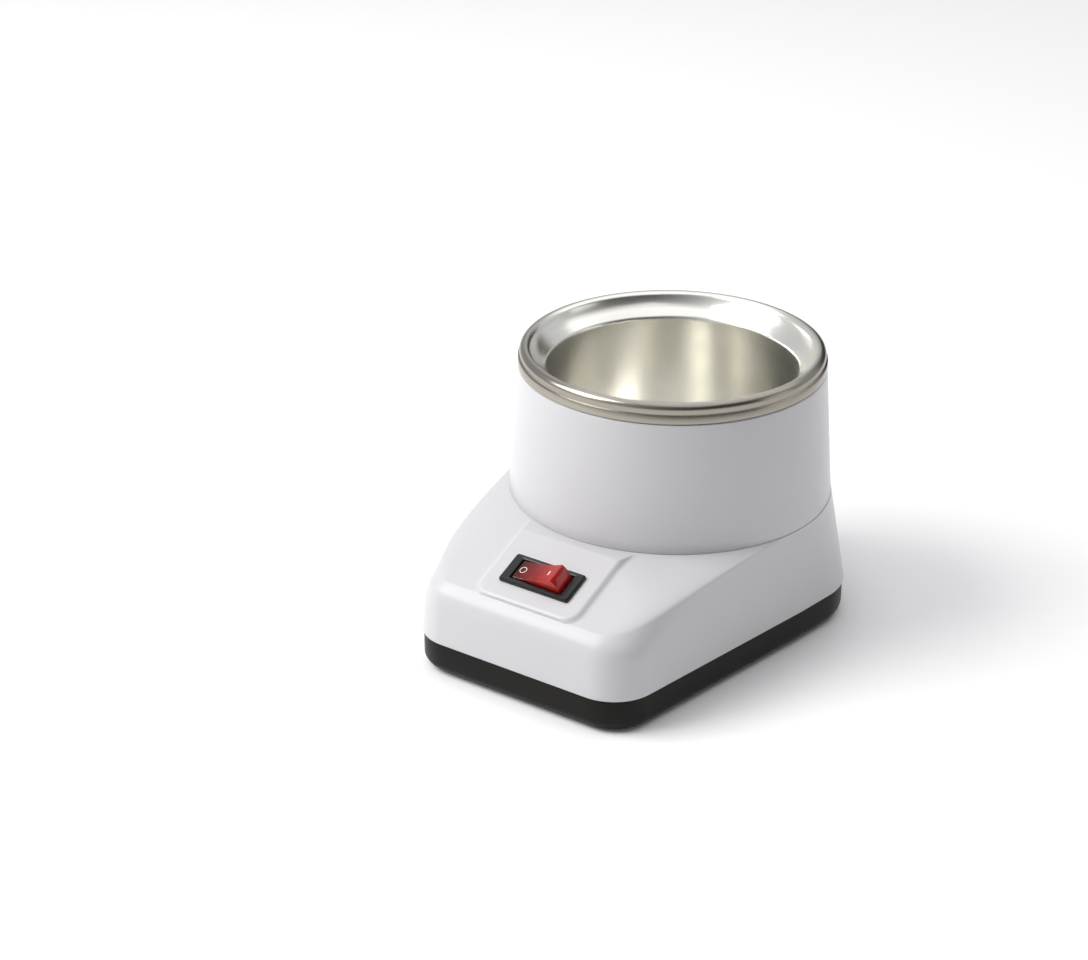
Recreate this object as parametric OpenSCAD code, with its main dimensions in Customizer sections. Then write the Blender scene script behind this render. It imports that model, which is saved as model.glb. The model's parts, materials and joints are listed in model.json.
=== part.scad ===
// Wax warmer pot: a spun steel well with a rolled rim in a round collar, on a
// sloping-deck base that carries a lit rocker switch, over a dark tray on feet.
// Millimetres, +Z up, front towards -Y. The origin is on the table under the
// middle of the bounding box, and the pot axis stands at y = pot_y.

/* [Well] */
// outer diameter of the rolled rim
rim_d = 120; // [116:1:122]
// inside diameter of the well
well_d = 98.4; // [94:0.2:99]
// from the top of the rim down to the floor of the well
well_depth = 82; // [74:1:83]
// from the top of the rim down to where the dish meets the well wall
dish_depth = 8.6; // [7:0.2:9.4]
// height of the steel band that shows above the collar
band_h = 7.8; // [7:0.1:8.6]
// thickness of the spun sheet
sheet_t = 0.8; // [0.6:0.1:1]

/* [Housing] */
// height from the table to the top of the rim
total_h = 112; // [110:1:120]
// height of the line where the collar stands on the base
parting_z = 52.2; // [50:0.2:54]
// diameter of the collar at that line
collar_d = 128.4; // [127:0.1:129]
// distance of the front face from the pot axis, at its lower edge
front_reach = 106; // [100:1:110]
// height of the lower edge of the light housing
housing_z = 14.1; // [13:0.1:16]
// half width at the centres of the two front corner rounds
front_corner_x = 34.2; // [30:0.2:38]
// plan radius of the front corners
front_corner_r = 18; // [14:0.5:20]
// plan radius of the rear of the base
rear_r = 64.5; // [64.4:0.1:66]
// how far the middle of that rear round is behind the pot axis
rear_shift = 6.1; // [4:0.1:8]
// half width at the centres of the two rear corner rounds
rear_corner_x = 36; // [35:0.2:37]
// how far those rounds are behind the pot axis
rear_corner_y = 20; // [18:0.5:22]
// plan radius of the rear corners
rear_corner_r = 30; // [29:0.2:31]
// radius of the soft edge between the deck and the front face
deck_edge_r = 10; // [8:0.5:12]
// height of the centre of that soft edge
deck_edge_z = 28.6; // [27:0.1:30]
// wall thickness of the mouldings
wall = 2.5; // [2.3:0.1:2.7]

/* [Tray and feet] */
// how far the feet stand below the tray
foot_drop = 1; // [0.8:0.1:2]
// diameter of each foot
foot_d = 14; // [10:1:16]
// how far the tray is set in under the housing
tray_inset = 0.6; // [0.4:0.1:1]

/* [Switch] */
// length of the switch bezel
bezel_l = 32; // [31:0.5:34]
// width of the switch bezel
bezel_w = 14; // [13.6:0.1:15]
// distance of the switch down the deck from the parting line
switch_run = 23.3; // [22:0.1:25]
// how far the pad around the switch stands above the deck
pad_h = 1.5; // [1:0.1:2]
// angle of the rocker either side of level
rocker_tilt = 16; // [10:0.5:16]

/* [Cord bushing] */
// radius of the hole for the supply cord
cord_hole_r = 3.4; // [2.5:0.1:4]
// height of the bushing above the table
bushing_z = 30; // [28:0.5:32]

/* [Hidden] */
rear_reach = 75;                             // pot axis to the end of the bushing
pot_y = (front_reach - rear_reach) / 2;

tiny = 0.01;
round_fn = 96;
hull_fn = 32;
slice = 0.2;                                 // thickness of each layer under a hull
lap = 0.1;                                   // overlap where pieces of one solid join
contact = 0.05;                              // air left between mating faces
screw_r = 1.5;
screw_hole_r = 1.55;
screw_clear_r = 1.8;
screw_head_r = 2.8;
screw_head_h = 2;
slot_w = 0.8;                                // driver slots in the screw heads
slot_depth = 1.2;
head_sink = 3.4;                             // depth of the screw holes in the tray's underside

// well
rim_r = rim_d / 2;
well_r = well_d / 2;
rim_z = total_h;
well_floor_z = rim_z - well_depth;
bead_r = 2.4;                                // outer radius of the rolled rim's section
bead_x = rim_r - bead_r;
bead_z = rim_z - bead_r;
collar_top_z = rim_z - band_h;
well_corner_r = 6;
well_out_r = well_r + sheet_t;
under_well_z = well_floor_z - sheet_t;

// housing
ledge_z = parting_z - wall;
disc_r = collar_d / 2 + 0.2;
collar_top_r = rim_r + 0.6;
ledge_hole_r = 55.5;
front_corner_y = -front_reach + front_corner_r;
front_draft = 1.5;                           // lean of the front face over its height
edge_ring_r = front_corner_r - front_draft + 0.5 - deck_edge_r;
edge_ring_y = front_corner_y + 0.5;
edge_ring_x = front_corner_x;
deck_dy = -disc_r - (edge_ring_y - edge_ring_r);
deck_dz = parting_z - deck_edge_z;
deck_angle = atan2(deck_dz, deck_dy) - asin(deck_edge_r / norm([deck_dy, deck_dz]));
ridge_steps = [0.12, 0.3, 0.5, 0.7, 0.85];   // shares of the way up the deck
side_run = [front_corner_x, front_corner_y - rear_shift];
side_angle = atan2(side_run[1], side_run[0]) + acos((rear_r - front_corner_r) / norm(side_run));
deck_low_z = deck_edge_z + deck_edge_r * cos(deck_angle);
deck_low_r = edge_ring_r + deck_edge_r * sin(deck_angle);
side_low = edge_ring_x * cos(side_angle) + edge_ring_y * sin(side_angle) + deck_low_r;

// tray
tray_z = foot_drop;
tray_floor = 2.5;
tray_top = housing_z - contact;
tray_floor_z = tray_z + tray_floor;
front_post = [33, -84];
rear_post = [44, 36];
post_r = 3.6;                                // bosses in the housing
rear_post_top = 38;
tray_post_r = 4;                             // bosses in the tray that meet them
foot_stem_r = 2.5;
foot_hole_r = 2.6;
foot_places = [[-32, -64], [32, -64], [-31, 40], [31, 40]];

// switch, in its own frame: origin on the pad, X along the bezel, Z off the pad;
// switch_yz is the point of the deck under that origin, in the pot's frame
switch_yz = [-disc_r - switch_run * cos(deck_angle), parting_z - switch_run * sin(deck_angle)];
flange_h = 1.8;
opening_l = 23.6;
opening_w = 9.6;
switch_box_l = 28.4;
switch_box_w = 12;
switch_box_h = 15;                           // depth below the pad
switch_floor = 1.6;
pivot_z = -0.8;
trunnion_r = 1.2;
trunnion_play = 0.05;
rocker_end_r = 11.4;
rocker_w = 9;
rocker_hollow_r = 48;                        // radius of the dished top
rocker_waist = 4.3;                          // pivot up to the middle of the dished top
rocker_skirt = 3;                            // pivot down to the lower edge
rocker_wall = 1.3;
plunger_reach = 7.8;
plunger_top = -2.3;
lever_z = -9.5;
lever_tilt = rocker_tilt / 2;
knuckle_r = 0.7;                             // round underside that the lever rocks on
terminal_gap = 7.4;                          // centre to centre of the blades
terminal_x = [-terminal_gap, 0, terminal_gap];
blade_t = 0.8;
blade_w = 4.8;
blade_drop = 7;                              // length of the blades below the switch box

module at_pot() { translate([0, pot_y, 0]) children(); }

module at_deck() {
  at_pot() translate([0, switch_yz[0], switch_yz[1]]) rotate([deck_angle, 0, 0]) children();
}

module at_switch() { at_deck() translate([0, 0, pad_h]) children(); }

// turned about the rocker's pivot: positive lowers the +X end
module about_pivot(angle) {
  translate([0, 0, pivot_z]) rotate([0, angle, 0]) children();
}

// one straight stretch of a wire, eight-sided, run on a little past point b
module strut(a, b, r, past) {
  d = b - a;
  translate(a) rotate([0, acos(d[2] / norm(d)), atan2(d[1], d[0])])
    cylinder(h = norm(d) + past, r = r, $fn = 8);
}

module run_of(points, r) {
  last = len(points) - 2;
  for (i = [0 : last]) strut(points[i], points[i + 1], r, i < last ? r * 0.4 : 0);
}

// pan-head screw with its seat at z = 0 and its shank upwards
module screw(length, head_r = screw_head_r) {
  difference() {
    union() {
      cylinder(h = length, r = screw_r, $fn = round_fn);
      translate([0, 0, -screw_head_h]) cylinder(h = screw_head_h, r = head_r, $fn = round_fn);
    }
    for (a = [0, 90]) rotate([0, 0, a])
      translate([-head_r * 0.55, -slot_w / 2, -screw_head_h - tiny])
        cube([head_r * 1.1, slot_w, slot_depth]);
  }
}

module tube(h, r_out, r_in) {
  difference() {
    cylinder(h = h, r = r_out, $fn = round_fn);
    translate([0, 0, -1]) cylinder(h = h + 2, r = r_in, $fn = round_fn);
  }
}

// ---- plan of the base: two front corners, two wider rear corners and a round rear ----
module plan_posts(inset, z, h) {
  for (side = [-1, 1]) translate([side * front_corner_x, front_corner_y, z])
    cylinder(h = h, r = front_corner_r - inset, $fn = 64);
  for (side = [-1, 1]) translate([side * rear_corner_x, rear_corner_y, z])
    cylinder(h = h, r = rear_corner_r - inset, $fn = 64);
  translate([0, rear_shift, z]) cylinder(h = h, r = rear_r - inset, $fn = 128);
}

// plan rounds at share t of the way up the deck: they keep the ridges beside the deck crisp,
// and open out to the full disc only near its top
module ridge_rounds(t, inset) {
  z = deck_low_z + t * (parting_z - deck_low_z);
  r = deck_low_r + (disc_r - deck_low_r) * pow(t, 3);
  reach = side_low + (disc_r - side_low) * sqrt(t);
  y = -disc_r - (parting_z - z) / tan(deck_angle) + r;
  x = (reach - r - y * sin(side_angle)) / cos(side_angle);
  for (side = [-1, 1]) translate([side * x, y, z - inset - slice])
    cylinder(h = slice, r = r - inset, $fn = 64);
}

// outer form of the light base housing, drawn in by inset all round
module housing_form(inset, bottom_z) {
  hull() {
    plan_posts(inset, bottom_z, slice);
    for (t = ridge_steps) ridge_rounds(t, inset);
    for (side = [-1, 1]) translate([side * edge_ring_x, edge_ring_y, deck_edge_z])
      rotate_extrude($fn = 2 * hull_fn) intersection() {
        translate([edge_ring_r, 0]) circle(r = deck_edge_r - inset, $fn = hull_fn);
        translate([0, -deck_edge_r]) square([front_corner_r, 2 * deck_edge_r]);
      }
    translate([0, 0, parting_z - inset - slice])
      cylinder(h = slice, r = disc_r - inset, $fn = 128);
  }
}

// ---- mouldings ----
collar_screw_r = 58.6;
collar_screw_angles = [30, 150, 270];
boss_r = 3;
flange_t = 2.5;                              // how far the bushing's flange stands out
bushing_boss_y = rear_reach - flange_t;
bushing_boss_r = 10;
bushing_hole_r = 5.5;
bushing_r = 5.4;
nut_seat_y = 64.4;                           // flat inside the rear wall
locating_out = 60.6;                         // ring on the ledge that centres the collar
locating_in = 59.2;
cut_play = 0.15;                             // gap round the switch in its cut-out

module collar_profile_ring() {
  h = collar_top_z - parting_z;
  difference() {
    cylinder(h = h, r1 = collar_d / 2, r2 = collar_top_r, $fn = round_fn);
    translate([0, 0, -tiny])
      cylinder(h = h - wall, r1 = collar_d / 2 - wall, r2 = collar_top_r - wall, $fn = round_fn);
    translate([0, 0, -tiny]) cylinder(h = h + 1, r = well_out_r + 2.5, $fn = round_fn);
  }
}

module collar() {
  lip_r = rim_r - 1.2;
  color([0.93, 0.93, 0.94]) at_pot() translate([0, 0, parting_z + contact]) difference() {
    union() {
      collar_profile_ring();
      translate([0, 0, collar_top_z - parting_z - tiny]) tube(2.4, lip_r, lip_r - 1.6);
      for (a = collar_screw_angles) rotate([0, 0, a]) translate([collar_screw_r, 0, 0.3])
        cylinder(h = 10, r = boss_r, $fn = round_fn);
    }
    for (a = collar_screw_angles) rotate([0, 0, a]) translate([collar_screw_r, 0, -1])
      cylinder(h = 10, r = screw_hole_r, $fn = round_fn);
  }
}

pad_half_w = 22.5;
pad_corner_r = 5;
pad_front = 13.4;                            // switch centre to the pad's front edge
pad_back = 30;

// raised pad under the switch, cut off level with the collar's seat
module switch_pad() {
  difference() {
    at_deck() hull()
      for (x = [-1, 1], y = [pad_corner_r - pad_front, pad_back])
        translate([x * (pad_half_w - pad_corner_r), y, -1]) {
          cylinder(h = 1.2, r = pad_corner_r + 1.1, $fn = hull_fn);
          cylinder(h = 1 + pad_h, r = pad_corner_r, $fn = hull_fn);
        }
    at_pot() translate([-40, -100, parting_z]) cube([80, 100, 20]);
  }
}

module posts_at(places) {
  for (p = places, side = [-1, 1]) translate([side * p[0], p[1], 0]) children();
}

strap_post_x = 58;
strap_post_r = 3;
strap_post_z = 18.5;                         // lower end of the strap's posts
post_rib_x = 60.5;                           // ribs that tie those posts to the wall
post_rib = [4.2, 2.4];
boss_z = housing_z + 2;
rib_angle = atan2(rear_post[1] - rear_shift, rear_post[0]);
rib_l = 20;                                  // trimmed by the wall

module housing_inside() {
  // collar locating ring on the ledge
  difference() {
    translate([0, 0, parting_z - tiny]) tube(2, locating_out, locating_in);
    for (a = collar_screw_angles) rotate([0, 0, a]) translate([collar_screw_r, 0, parting_z])
      cylinder(h = 3, r = boss_r + 0.4, $fn = round_fn);
  }
  // posts for the support strap
  for (side = [-1, 1]) {
    translate([side * strap_post_x, 0, strap_post_z + contact])
      cylinder(h = ledge_z - strap_post_z, r = strap_post_r, $fn = round_fn);
    translate([side * post_rib_x - post_rib[0] / 2, -post_rib[1] / 2, strap_post_z + 1.5])
      cube([post_rib[0], post_rib[1], ledge_z - strap_post_z - 0.5]);
  }
  // bosses that take the tray screws: the front ones reach the deck, the rear ones a rib to the wall
  intersection() {
    union() {
      posts_at([front_post]) translate([0, 0, boss_z])
        cylinder(h = parting_z - boss_z, r = post_r, $fn = round_fn);
      posts_at([rear_post]) translate([0, 0, boss_z])
        cylinder(h = rear_post_top - boss_z, r = post_r, $fn = round_fn);
      for (side = [-1, 1]) translate([side * rear_post[0], rear_post[1], boss_z])
        rotate([0, 0, 90 - side * (90 - rib_angle)]) translate([0, -1, 0])
          cube([rib_l, 2, rear_post_top - boss_z]);
    }
    housing_form(0.8, housing_z);
  }
}

module lower_housing() {
  color([0.93, 0.93, 0.95]) difference() {
    union() {
      at_pot() difference() {
        housing_form(0, housing_z);
        housing_form(wall, housing_z - 5);
      }
      at_pot() housing_inside();
      at_pot() translate([0, bushing_boss_y - 10, bushing_z]) rotate([-90, 0, 0])
        cylinder(h = 10, r = bushing_boss_r, $fn = round_fn);
      switch_pad();
    }
    at_pot() {
      translate([0, 0, ledge_z - 5]) cylinder(h = 20, r = ledge_hole_r, $fn = round_fn);
      // keep the pad and posts clear of the collar's seat
      translate([0, 0, parting_z]) difference() {
        cylinder(h = 12, r = disc_r, $fn = 128);
        cylinder(h = 30, r = locating_out + 0.4, center = true, $fn = round_fn);
      }
      for (a = collar_screw_angles) rotate([0, 0, a]) translate([collar_screw_r, 0, ledge_z - 1])
        cylinder(h = 6, r = screw_clear_r, $fn = round_fn);
      for (side = [-1, 1]) translate([side * strap_post_x, 0, 10])
        cylinder(h = 20, r = screw_hole_r, $fn = round_fn);
      posts_at([front_post, rear_post]) translate([0, 0, 10])
        cylinder(h = 16, r = screw_hole_r, $fn = round_fn);
      translate([0, bushing_boss_y - 20, bushing_z]) rotate([-90, 0, 0])
        cylinder(h = 30, r = bushing_hole_r, $fn = round_fn);
      // flat inside seat for the bushing nut
      translate([0, nut_seat_y - 12.4, bushing_z]) rotate([-90, 0, 0])
        cylinder(h = 12.4, r = bushing_boss_r + 0.5, $fn = round_fn);
    }
    at_switch() translate([-switch_box_l / 2 - cut_play, -switch_box_w / 2 - cut_play, -12])
      cube([switch_box_l + 2 * cut_play, switch_box_w + 2 * cut_play, 20]);
  }
}

tray_edge_r = 4.2;                           // radius of the tray's lower edge
edge_steps = 4;

// tray form: upright side over a rounded lower edge
module tray_form(inset, base_z) {
  hull() {
    plan_posts(inset, tray_top - slice, slice);
    for (i = [0 : edge_steps]) let(a = 90 * i / edge_steps)
      plan_posts(inset + tray_edge_r * (1 - cos(a)), base_z + tray_edge_r * (1 - sin(a)), slice);
  }
}

module base_tray() {
  tongue_in = tray_inset + wall + 0.8;
  tongue_t = 1.4;
  cradle_t = 1.6;
  cradle_x = 17.2;
  color([0.07, 0.07, 0.075]) at_pot() difference() {
    union() {
      difference() {
        tray_form(tray_inset, tray_z);
        translate([0, 0, tray_floor]) hull() {
          plan_posts(tray_inset + wall, tray_z + 6.5, 20);
          plan_posts(tray_inset + 2 * wall + 2.5, tray_z, slice);
        }
      }
      // tongue that locates the housing
      difference() {
        union() {
          hull() plan_posts(tray_inset + wall - lap, tray_top - 4, 3.4);
          hull() plan_posts(tongue_in, tray_top - 4, 5.5);
        }
        hull() plan_posts(tongue_in + tongue_t, tray_top - 5, 8);
        // notches for the heads of the strap screws
        for (side = [-1, 1]) translate([side * strap_post_x, 0, tray_top - 2])
          cylinder(h = 6, r = screw_head_r + 0.8, $fn = round_fn);
      }
      posts_at([front_post, rear_post]) translate([0, 0, tray_floor_z - tiny])
        cylinder(h = boss_z - contact - tray_floor_z, r = tray_post_r, $fn = round_fn);
      // cradle walls for the terminal block
      for (side = [-1, 1]) translate([side * cradle_x - cradle_t / 2, 40, tray_floor_z - tiny])
        cube([cradle_t, 14, 5]);
    }
    posts_at([front_post, rear_post]) {
      translate([0, 0, -1]) cylinder(h = 30, r = screw_clear_r, $fn = round_fn);
      translate([0, 0, tray_z - 1]) cylinder(h = 1 + head_sink, r = screw_head_r + 0.5, $fn = round_fn);
    }
    for (p = foot_places) translate([p[0], p[1], 0])
      cylinder(h = 10, r = foot_hole_r, $fn = round_fn);
  }
}

module rubber_feet() {
  bevel = 0.6;
  color([0.1, 0.1, 0.1]) at_pot() for (p = foot_places) translate([p[0], p[1], 0]) difference() {
    union() {
      cylinder(h = bevel, r1 = foot_d / 2 - bevel, r2 = foot_d / 2, $fn = round_fn);
      translate([0, 0, bevel]) cylinder(h = foot_drop - bevel - contact, r = foot_d / 2, $fn = round_fn);
      cylinder(h = tray_floor_z + lap, r = foot_stem_r, $fn = round_fn);
      // barb that snaps in over the tray's floor
      translate([0, 0, tray_floor_z + lap])
        cylinder(h = 1.6, r1 = foot_stem_r + 0.7, r2 = foot_stem_r - 0.5, $fn = round_fn);
    }
    translate([0, 0, -tiny]) cylinder(h = 1.2, r = 1.8, $fn = round_fn);
  }
}

// ---- steel well ----
// points along an arc of radius r about [x, z]
function arc(x, z, r, from, to, steps) =
  [for (i = [0 : steps]) let(a = from + (to - from) * i / steps) [x + r * cos(a), z + r * sin(a)]];

// section of the sheet: skirt, rolled bead, dish, wall, corner and floor, then back outside
module liner_profile() {
  wall_top_z = rim_z - dish_depth;
  skirt_low = collar_top_z + 2 * contact;
  skirt_out = collar_top_r;
  corner_x = well_r - well_corner_r;
  corner_z = well_floor_z + well_corner_r;
  dish_lip_r = 3;                            // soft turn from the dish into the wall
  polygon(concat(
    [[skirt_out, skirt_low], [skirt_out, bead_z - 2], [rim_r, bead_z - 1.7]],
    arc(bead_x, bead_z, bead_r, 0, 180, 14),
    [[well_r + 1.4, wall_top_z + 1.5]],
    arc(well_r + dish_lip_r, wall_top_z - 1.4, dish_lip_r, 140, 180, 4),
    arc(corner_x, corner_z, well_corner_r, 0, -90, 7),
    [[0, well_floor_z], [0, under_well_z]],
    arc(corner_x, corner_z, well_corner_r + sheet_t, -90, 0, 7),
    [[well_out_r, wall_top_z - 1.4], [well_out_r + 1, wall_top_z + 0.1],
     [bead_x - bead_r + sheet_t, bead_z - 0.9]],
    arc(bead_x, bead_z, bead_r - sheet_t, 180, 0, 10),
    [[rim_r - sheet_t, bead_z - 1.8], [skirt_out - sheet_t, bead_z - 2.2],
     [skirt_out - sheet_t, skirt_low]]));
}

module well_liner() {
  color([0.78, 0.76, 0.73]) at_pot() rotate_extrude($fn = round_fn) liner_profile();
}

// ---- what holds the well down ----
stud_r = 2.5;
strap_z = 17;
strap_t = 1.5;
shield_z = strap_z + strap_t + contact;
shield_t = 0.8;
shield_r = 50;
stud_low_z = 11;
stud_nut_z = 12;
stud_nut_h = 3.9;
strap_w = 14;
strap_half_l = 61;
earth_x = -34;                               // earth screw on the strap

module centre_stud() {
  color([0.7, 0.7, 0.68]) at_pot() difference() {
    union() {
      translate([0, 0, stud_low_z])
        cylinder(h = under_well_z - contact - stud_low_z, r = stud_r, $fn = round_fn);
      translate([0, 0, under_well_z - contact - 1]) cylinder(h = 1, r = 5, $fn = round_fn);
    }
    // thread, as plain grooves
    for (i = [0 : 5]) translate([0, 0, stud_low_z + 0.6 + i]) tube(0.3, stud_r + 1, stud_r - 0.25);
  }
}

module hex_nut(h, r, hole) {
  difference() {
    cylinder(h = h, r = r, $fn = 6);
    translate([0, 0, -1]) cylinder(h = h + 2, r = hole, $fn = round_fn);
  }
}

module stud_nut() {
  color([0.72, 0.72, 0.7]) at_pot() translate([0, 0, stud_nut_z])
    hex_nut(stud_nut_h, 4.6, stud_r + contact);
}

module stud_washer() {
  color([0.75, 0.75, 0.73]) at_pot() translate([0, 0, stud_nut_z + stud_nut_h + contact])
    tube(1, 5.6, stud_r + 0.2);
}

module support_strap() {
  flange_l = 92;
  color([0.66, 0.66, 0.64]) at_pot() translate([0, 0, strap_z]) difference() {
    union() {
      intersection() {
        translate([-strap_half_l - 1, -strap_w / 2, 0]) cube([2 * strap_half_l + 2, strap_w, strap_t]);
        cylinder(h = strap_t, r = strap_half_l, $fn = round_fn);
      }
      // stiffening flanges, turned down
      for (side = [-1, 1]) translate([-flange_l / 2, side * (strap_w - 1.2) / 2 - 0.6, -3])
        cube([flange_l, 1.2, 3 + tiny]);
    }
    translate([0, 0, -1]) cylinder(h = 4, r = stud_r + 0.2, $fn = round_fn);
    for (side = [-1, 1]) translate([side * strap_post_x, 0, -1])
      cylinder(h = 4, r = screw_clear_r, $fn = round_fn);
    translate([earth_x, 0, -1]) cylinder(h = 4, r = screw_hole_r, $fn = round_fn);
  }
}

module strap_screws() {
  color([0.7, 0.7, 0.68]) at_pot() {
    for (side = [-1, 1]) translate([side * strap_post_x, 0, strap_z - contact]) screw(10);
    translate([earth_x, 0, strap_z - 1 - 2 * contact]) screw(4);
  }
}

wire_hole = [24, -26];

module heat_shield() {
  color([0.8, 0.8, 0.8]) at_pot() translate([0, 0, shield_z]) difference() {
    union() {
      cylinder(h = shield_t, r = shield_r, $fn = round_fn);
      tube(4, shield_r, shield_r - shield_t);
    }
    translate([0, 0, -1]) cylinder(h = 4, r = 3, $fn = round_fn);
    translate([earth_x, 0, -1]) cylinder(h = 4, r = 2.5, $fn = round_fn);
    // openings for the wires that go up to the thermostat and the fuse
    for (side = [-1, 1]) translate([side * wire_hole[0], wire_hole[1], -1])
      cylinder(h = 4, r = 4, $fn = round_fn);
  }
}

// ---- heating ----
band_z = 54;
heater_h = 34;
heater_in_r = well_out_r + contact;
heater_t = 1.5;
ear_z = 60;
ear_h = 20;
ear_t = 1.2;
ear_x = 2.6;                                 // middle of each ear, either side of the split
ear_screw_y = 4.7;                           // from the band's inside out to the clamp screw

module heater_band() {
  color([0.72, 0.68, 0.6]) at_pot() difference() {
    union() {
      translate([0, 0, band_z]) tube(heater_h, heater_in_r + heater_t, heater_in_r);
      for (side = [-1, 1]) translate([side * ear_x - ear_t / 2, heater_in_r + 0.4, ear_z])
        cube([ear_t, 6.6, ear_h]);
    }
    translate([-2, heater_in_r - 5, band_z - 1]) cube([4, 12, heater_h + 2]);
    translate([-5, heater_in_r + ear_screw_y, ear_z + ear_h / 2]) rotate([0, 90, 0])
      cylinder(h = 10, r = screw_clear_r, $fn = round_fn);
  }
}

module band_clamp_screw() {
  grip = 2 * ear_x + ear_t;
  color([0.7, 0.7, 0.68]) at_pot()
    translate([-grip / 2 - contact, heater_in_r + ear_screw_y, ear_z + ear_h / 2])
      rotate([0, 90, 0]) {
        screw(10);
        translate([0, 0, grip + 2 * contact]) hex_nut(2.4, 3, screw_r - tiny);
      }
}

module insulation_sleeve() {
  sleeve_in = heater_in_r + heater_t + 0.2;
  sleeve_out = ledge_hole_r - 0.6;
  sleeve_z = 40;
  sleeve_h = 56;
  slot = 16;
  color([0.85, 0.83, 0.76]) at_pot() translate([0, 0, sleeve_z]) difference() {
    tube(sleeve_h, sleeve_out, sleeve_in);
    translate([-slot / 2, sleeve_out - 10, -1]) cube([slot, 12, sleeve_h + 2]);
  }
}

thermostat_x = 24;
bracket_z = 22.2;
bracket_t = 0.8;

module thermostat() {
  color([0.12, 0.1, 0.09]) at_pot() translate([thermostat_x, 0, 0]) {
    translate([0, 0, bracket_z + bracket_t + contact])
      cylinder(h = under_well_z - bracket_z - bracket_t - 2 * contact, r = 8, $fn = round_fn);
    translate([0, 0, 20.4]) cylinder(h = 3, r = 6, $fn = round_fn);
    for (side = [-1, 1]) translate([-1.6, side * 8.4 - 3.2, 24.4]) cube([3.2, 6.4, 0.8]);
  }
}

module thermostat_bracket() {
  color([0.7, 0.7, 0.68]) at_pot() translate([0, 0, bracket_z]) difference() {
    translate([-31, -6.8, 0]) cube([66, 13.6, bracket_t]);
    translate([thermostat_x, 0, -1]) cylinder(h = 3, r = 6.15, $fn = round_fn);
    translate([0, 0, -1]) cylinder(h = 3, r = stud_r + 0.1, $fn = round_fn);
  }
}

module bracket_nut() {
  color([0.72, 0.72, 0.7]) at_pot() translate([0, 0, bracket_z - 2.2 - contact])
    hex_nut(2.2, 4.6, stud_r + contact);
}

fuse_x = -22;
fuse_r = 2.2;
fuse_z = under_well_z - fuse_r - contact;

module thermal_fuse() {
  color([0.75, 0.72, 0.66]) at_pot() translate([fuse_x, 0, fuse_z]) rotate([90, 0, 0]) {
    cylinder(h = 14, r = fuse_r, center = true, $fn = round_fn);
    cylinder(h = 26, r = 0.5, center = true, $fn = round_fn);
  }
}

module fuse_clip() {
  foot_z = bracket_z + bracket_t + contact;
  color([0.75, 0.75, 0.73]) at_pot() translate([fuse_x, 0, 0]) difference() {
    union() {
      translate([0, 4, fuse_z]) rotate([90, 0, 0]) cylinder(h = 8, r = fuse_r + 0.7, $fn = round_fn);
      translate([-4, -4, foot_z]) cube([8, 8, fuse_z - 2 - foot_z]);
    }
    translate([0, 5, fuse_z]) rotate([90, 0, 0]) cylinder(h = 10, r = fuse_r + contact, $fn = round_fn);
    translate([-5, -5, fuse_z + 1]) cube([10, 10, 10]);
  }
}

// ---- fasteners of the mouldings ----
module collar_screws() {
  color([0.7, 0.7, 0.68]) at_pot() for (a = collar_screw_angles) rotate([0, 0, a])
    translate([collar_screw_r, 0, ledge_z - contact]) screw(10, 2.6);
}

module tray_screws() {
  color([0.7, 0.7, 0.68]) at_pot() posts_at([front_post, rear_post])
    translate([0, 0, tray_z + head_sink - contact]) screw(18);
}

// ---- cord entry ----
module cord_bushing() {
  sleeve_l = 16;
  rim_t = 1.6;
  bevel = flange_t - rim_t - contact;
  color([0.08, 0.08, 0.085]) at_pot() translate([0, bushing_boss_y + contact, bushing_z])
    rotate([-90, 0, 0]) difference() {
      union() {
        translate([0, 0, -sleeve_l]) cylinder(h = sleeve_l + tiny, r = bushing_r, $fn = round_fn);
        cylinder(h = rim_t, r = 8, $fn = round_fn);
        translate([0, 0, rim_t]) cylinder(h = bevel, r1 = 8, r2 = 7.1, $fn = round_fn);
      }
      translate([0, 0, -sleeve_l - 1]) cylinder(h = 30, r = cord_hole_r, $fn = round_fn);
    }
}

module bushing_nut() {
  nut_h = 3.5;
  color([0.09, 0.09, 0.09]) at_pot() translate([0, nut_seat_y - nut_h - contact, bushing_z])
    rotate([-90, 0, 0]) hex_nut(nut_h, 9, bushing_r + contact);
}

block_y = 46;
block_ports = [-9, 0, 9];
port_z = 4.5;
clamp_y = [-3.5, 5.5];                       // the two rows of clamp screws

module terminal_block() {
  color([0.9, 0.88, 0.82]) at_pot() translate([0, block_y, tray_floor_z + contact]) difference() {
    translate([-16, -7, 0]) cube([32, 16, 10]);
    for (x = block_ports) {
      translate([x, -8, port_z]) rotate([-90, 0, 0]) cylinder(h = 20, r = 2, $fn = round_fn);
      for (y = clamp_y) translate([x, y, port_z]) cylinder(h = 8, r = 1.9, $fn = round_fn);
    }
    // grooves between the ways
    for (x = [-4.5, 4.5]) translate([x - 0.6, -8, 7]) cube([1.2, 20, 5]);
  }
}

module terminal_screws() {
  color([0.78, 0.66, 0.36]) at_pot() translate([0, block_y, tray_floor_z + contact])
    for (x = block_ports, y = clamp_y) translate([x, y, port_z + 2.2]) difference() {
      cylinder(h = 2.6, r = 1.8, $fn = round_fn);
      translate([-2, -0.3, 1.8]) cube([4, 0.6, 2]);
    }
}

// ---- switch ----
module round_slab(l, w, h, r) {
  linear_extrude(height = h) union() {
    square([l - 2 * r, w], center = true);
    square([l, w - 2 * r], center = true);
    for (x = [-1, 1], y = [-1, 1]) translate([x * (l / 2 - r), y * (w / 2 - r)])
      circle(r = r, $fn = 32);
  }
}

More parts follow.
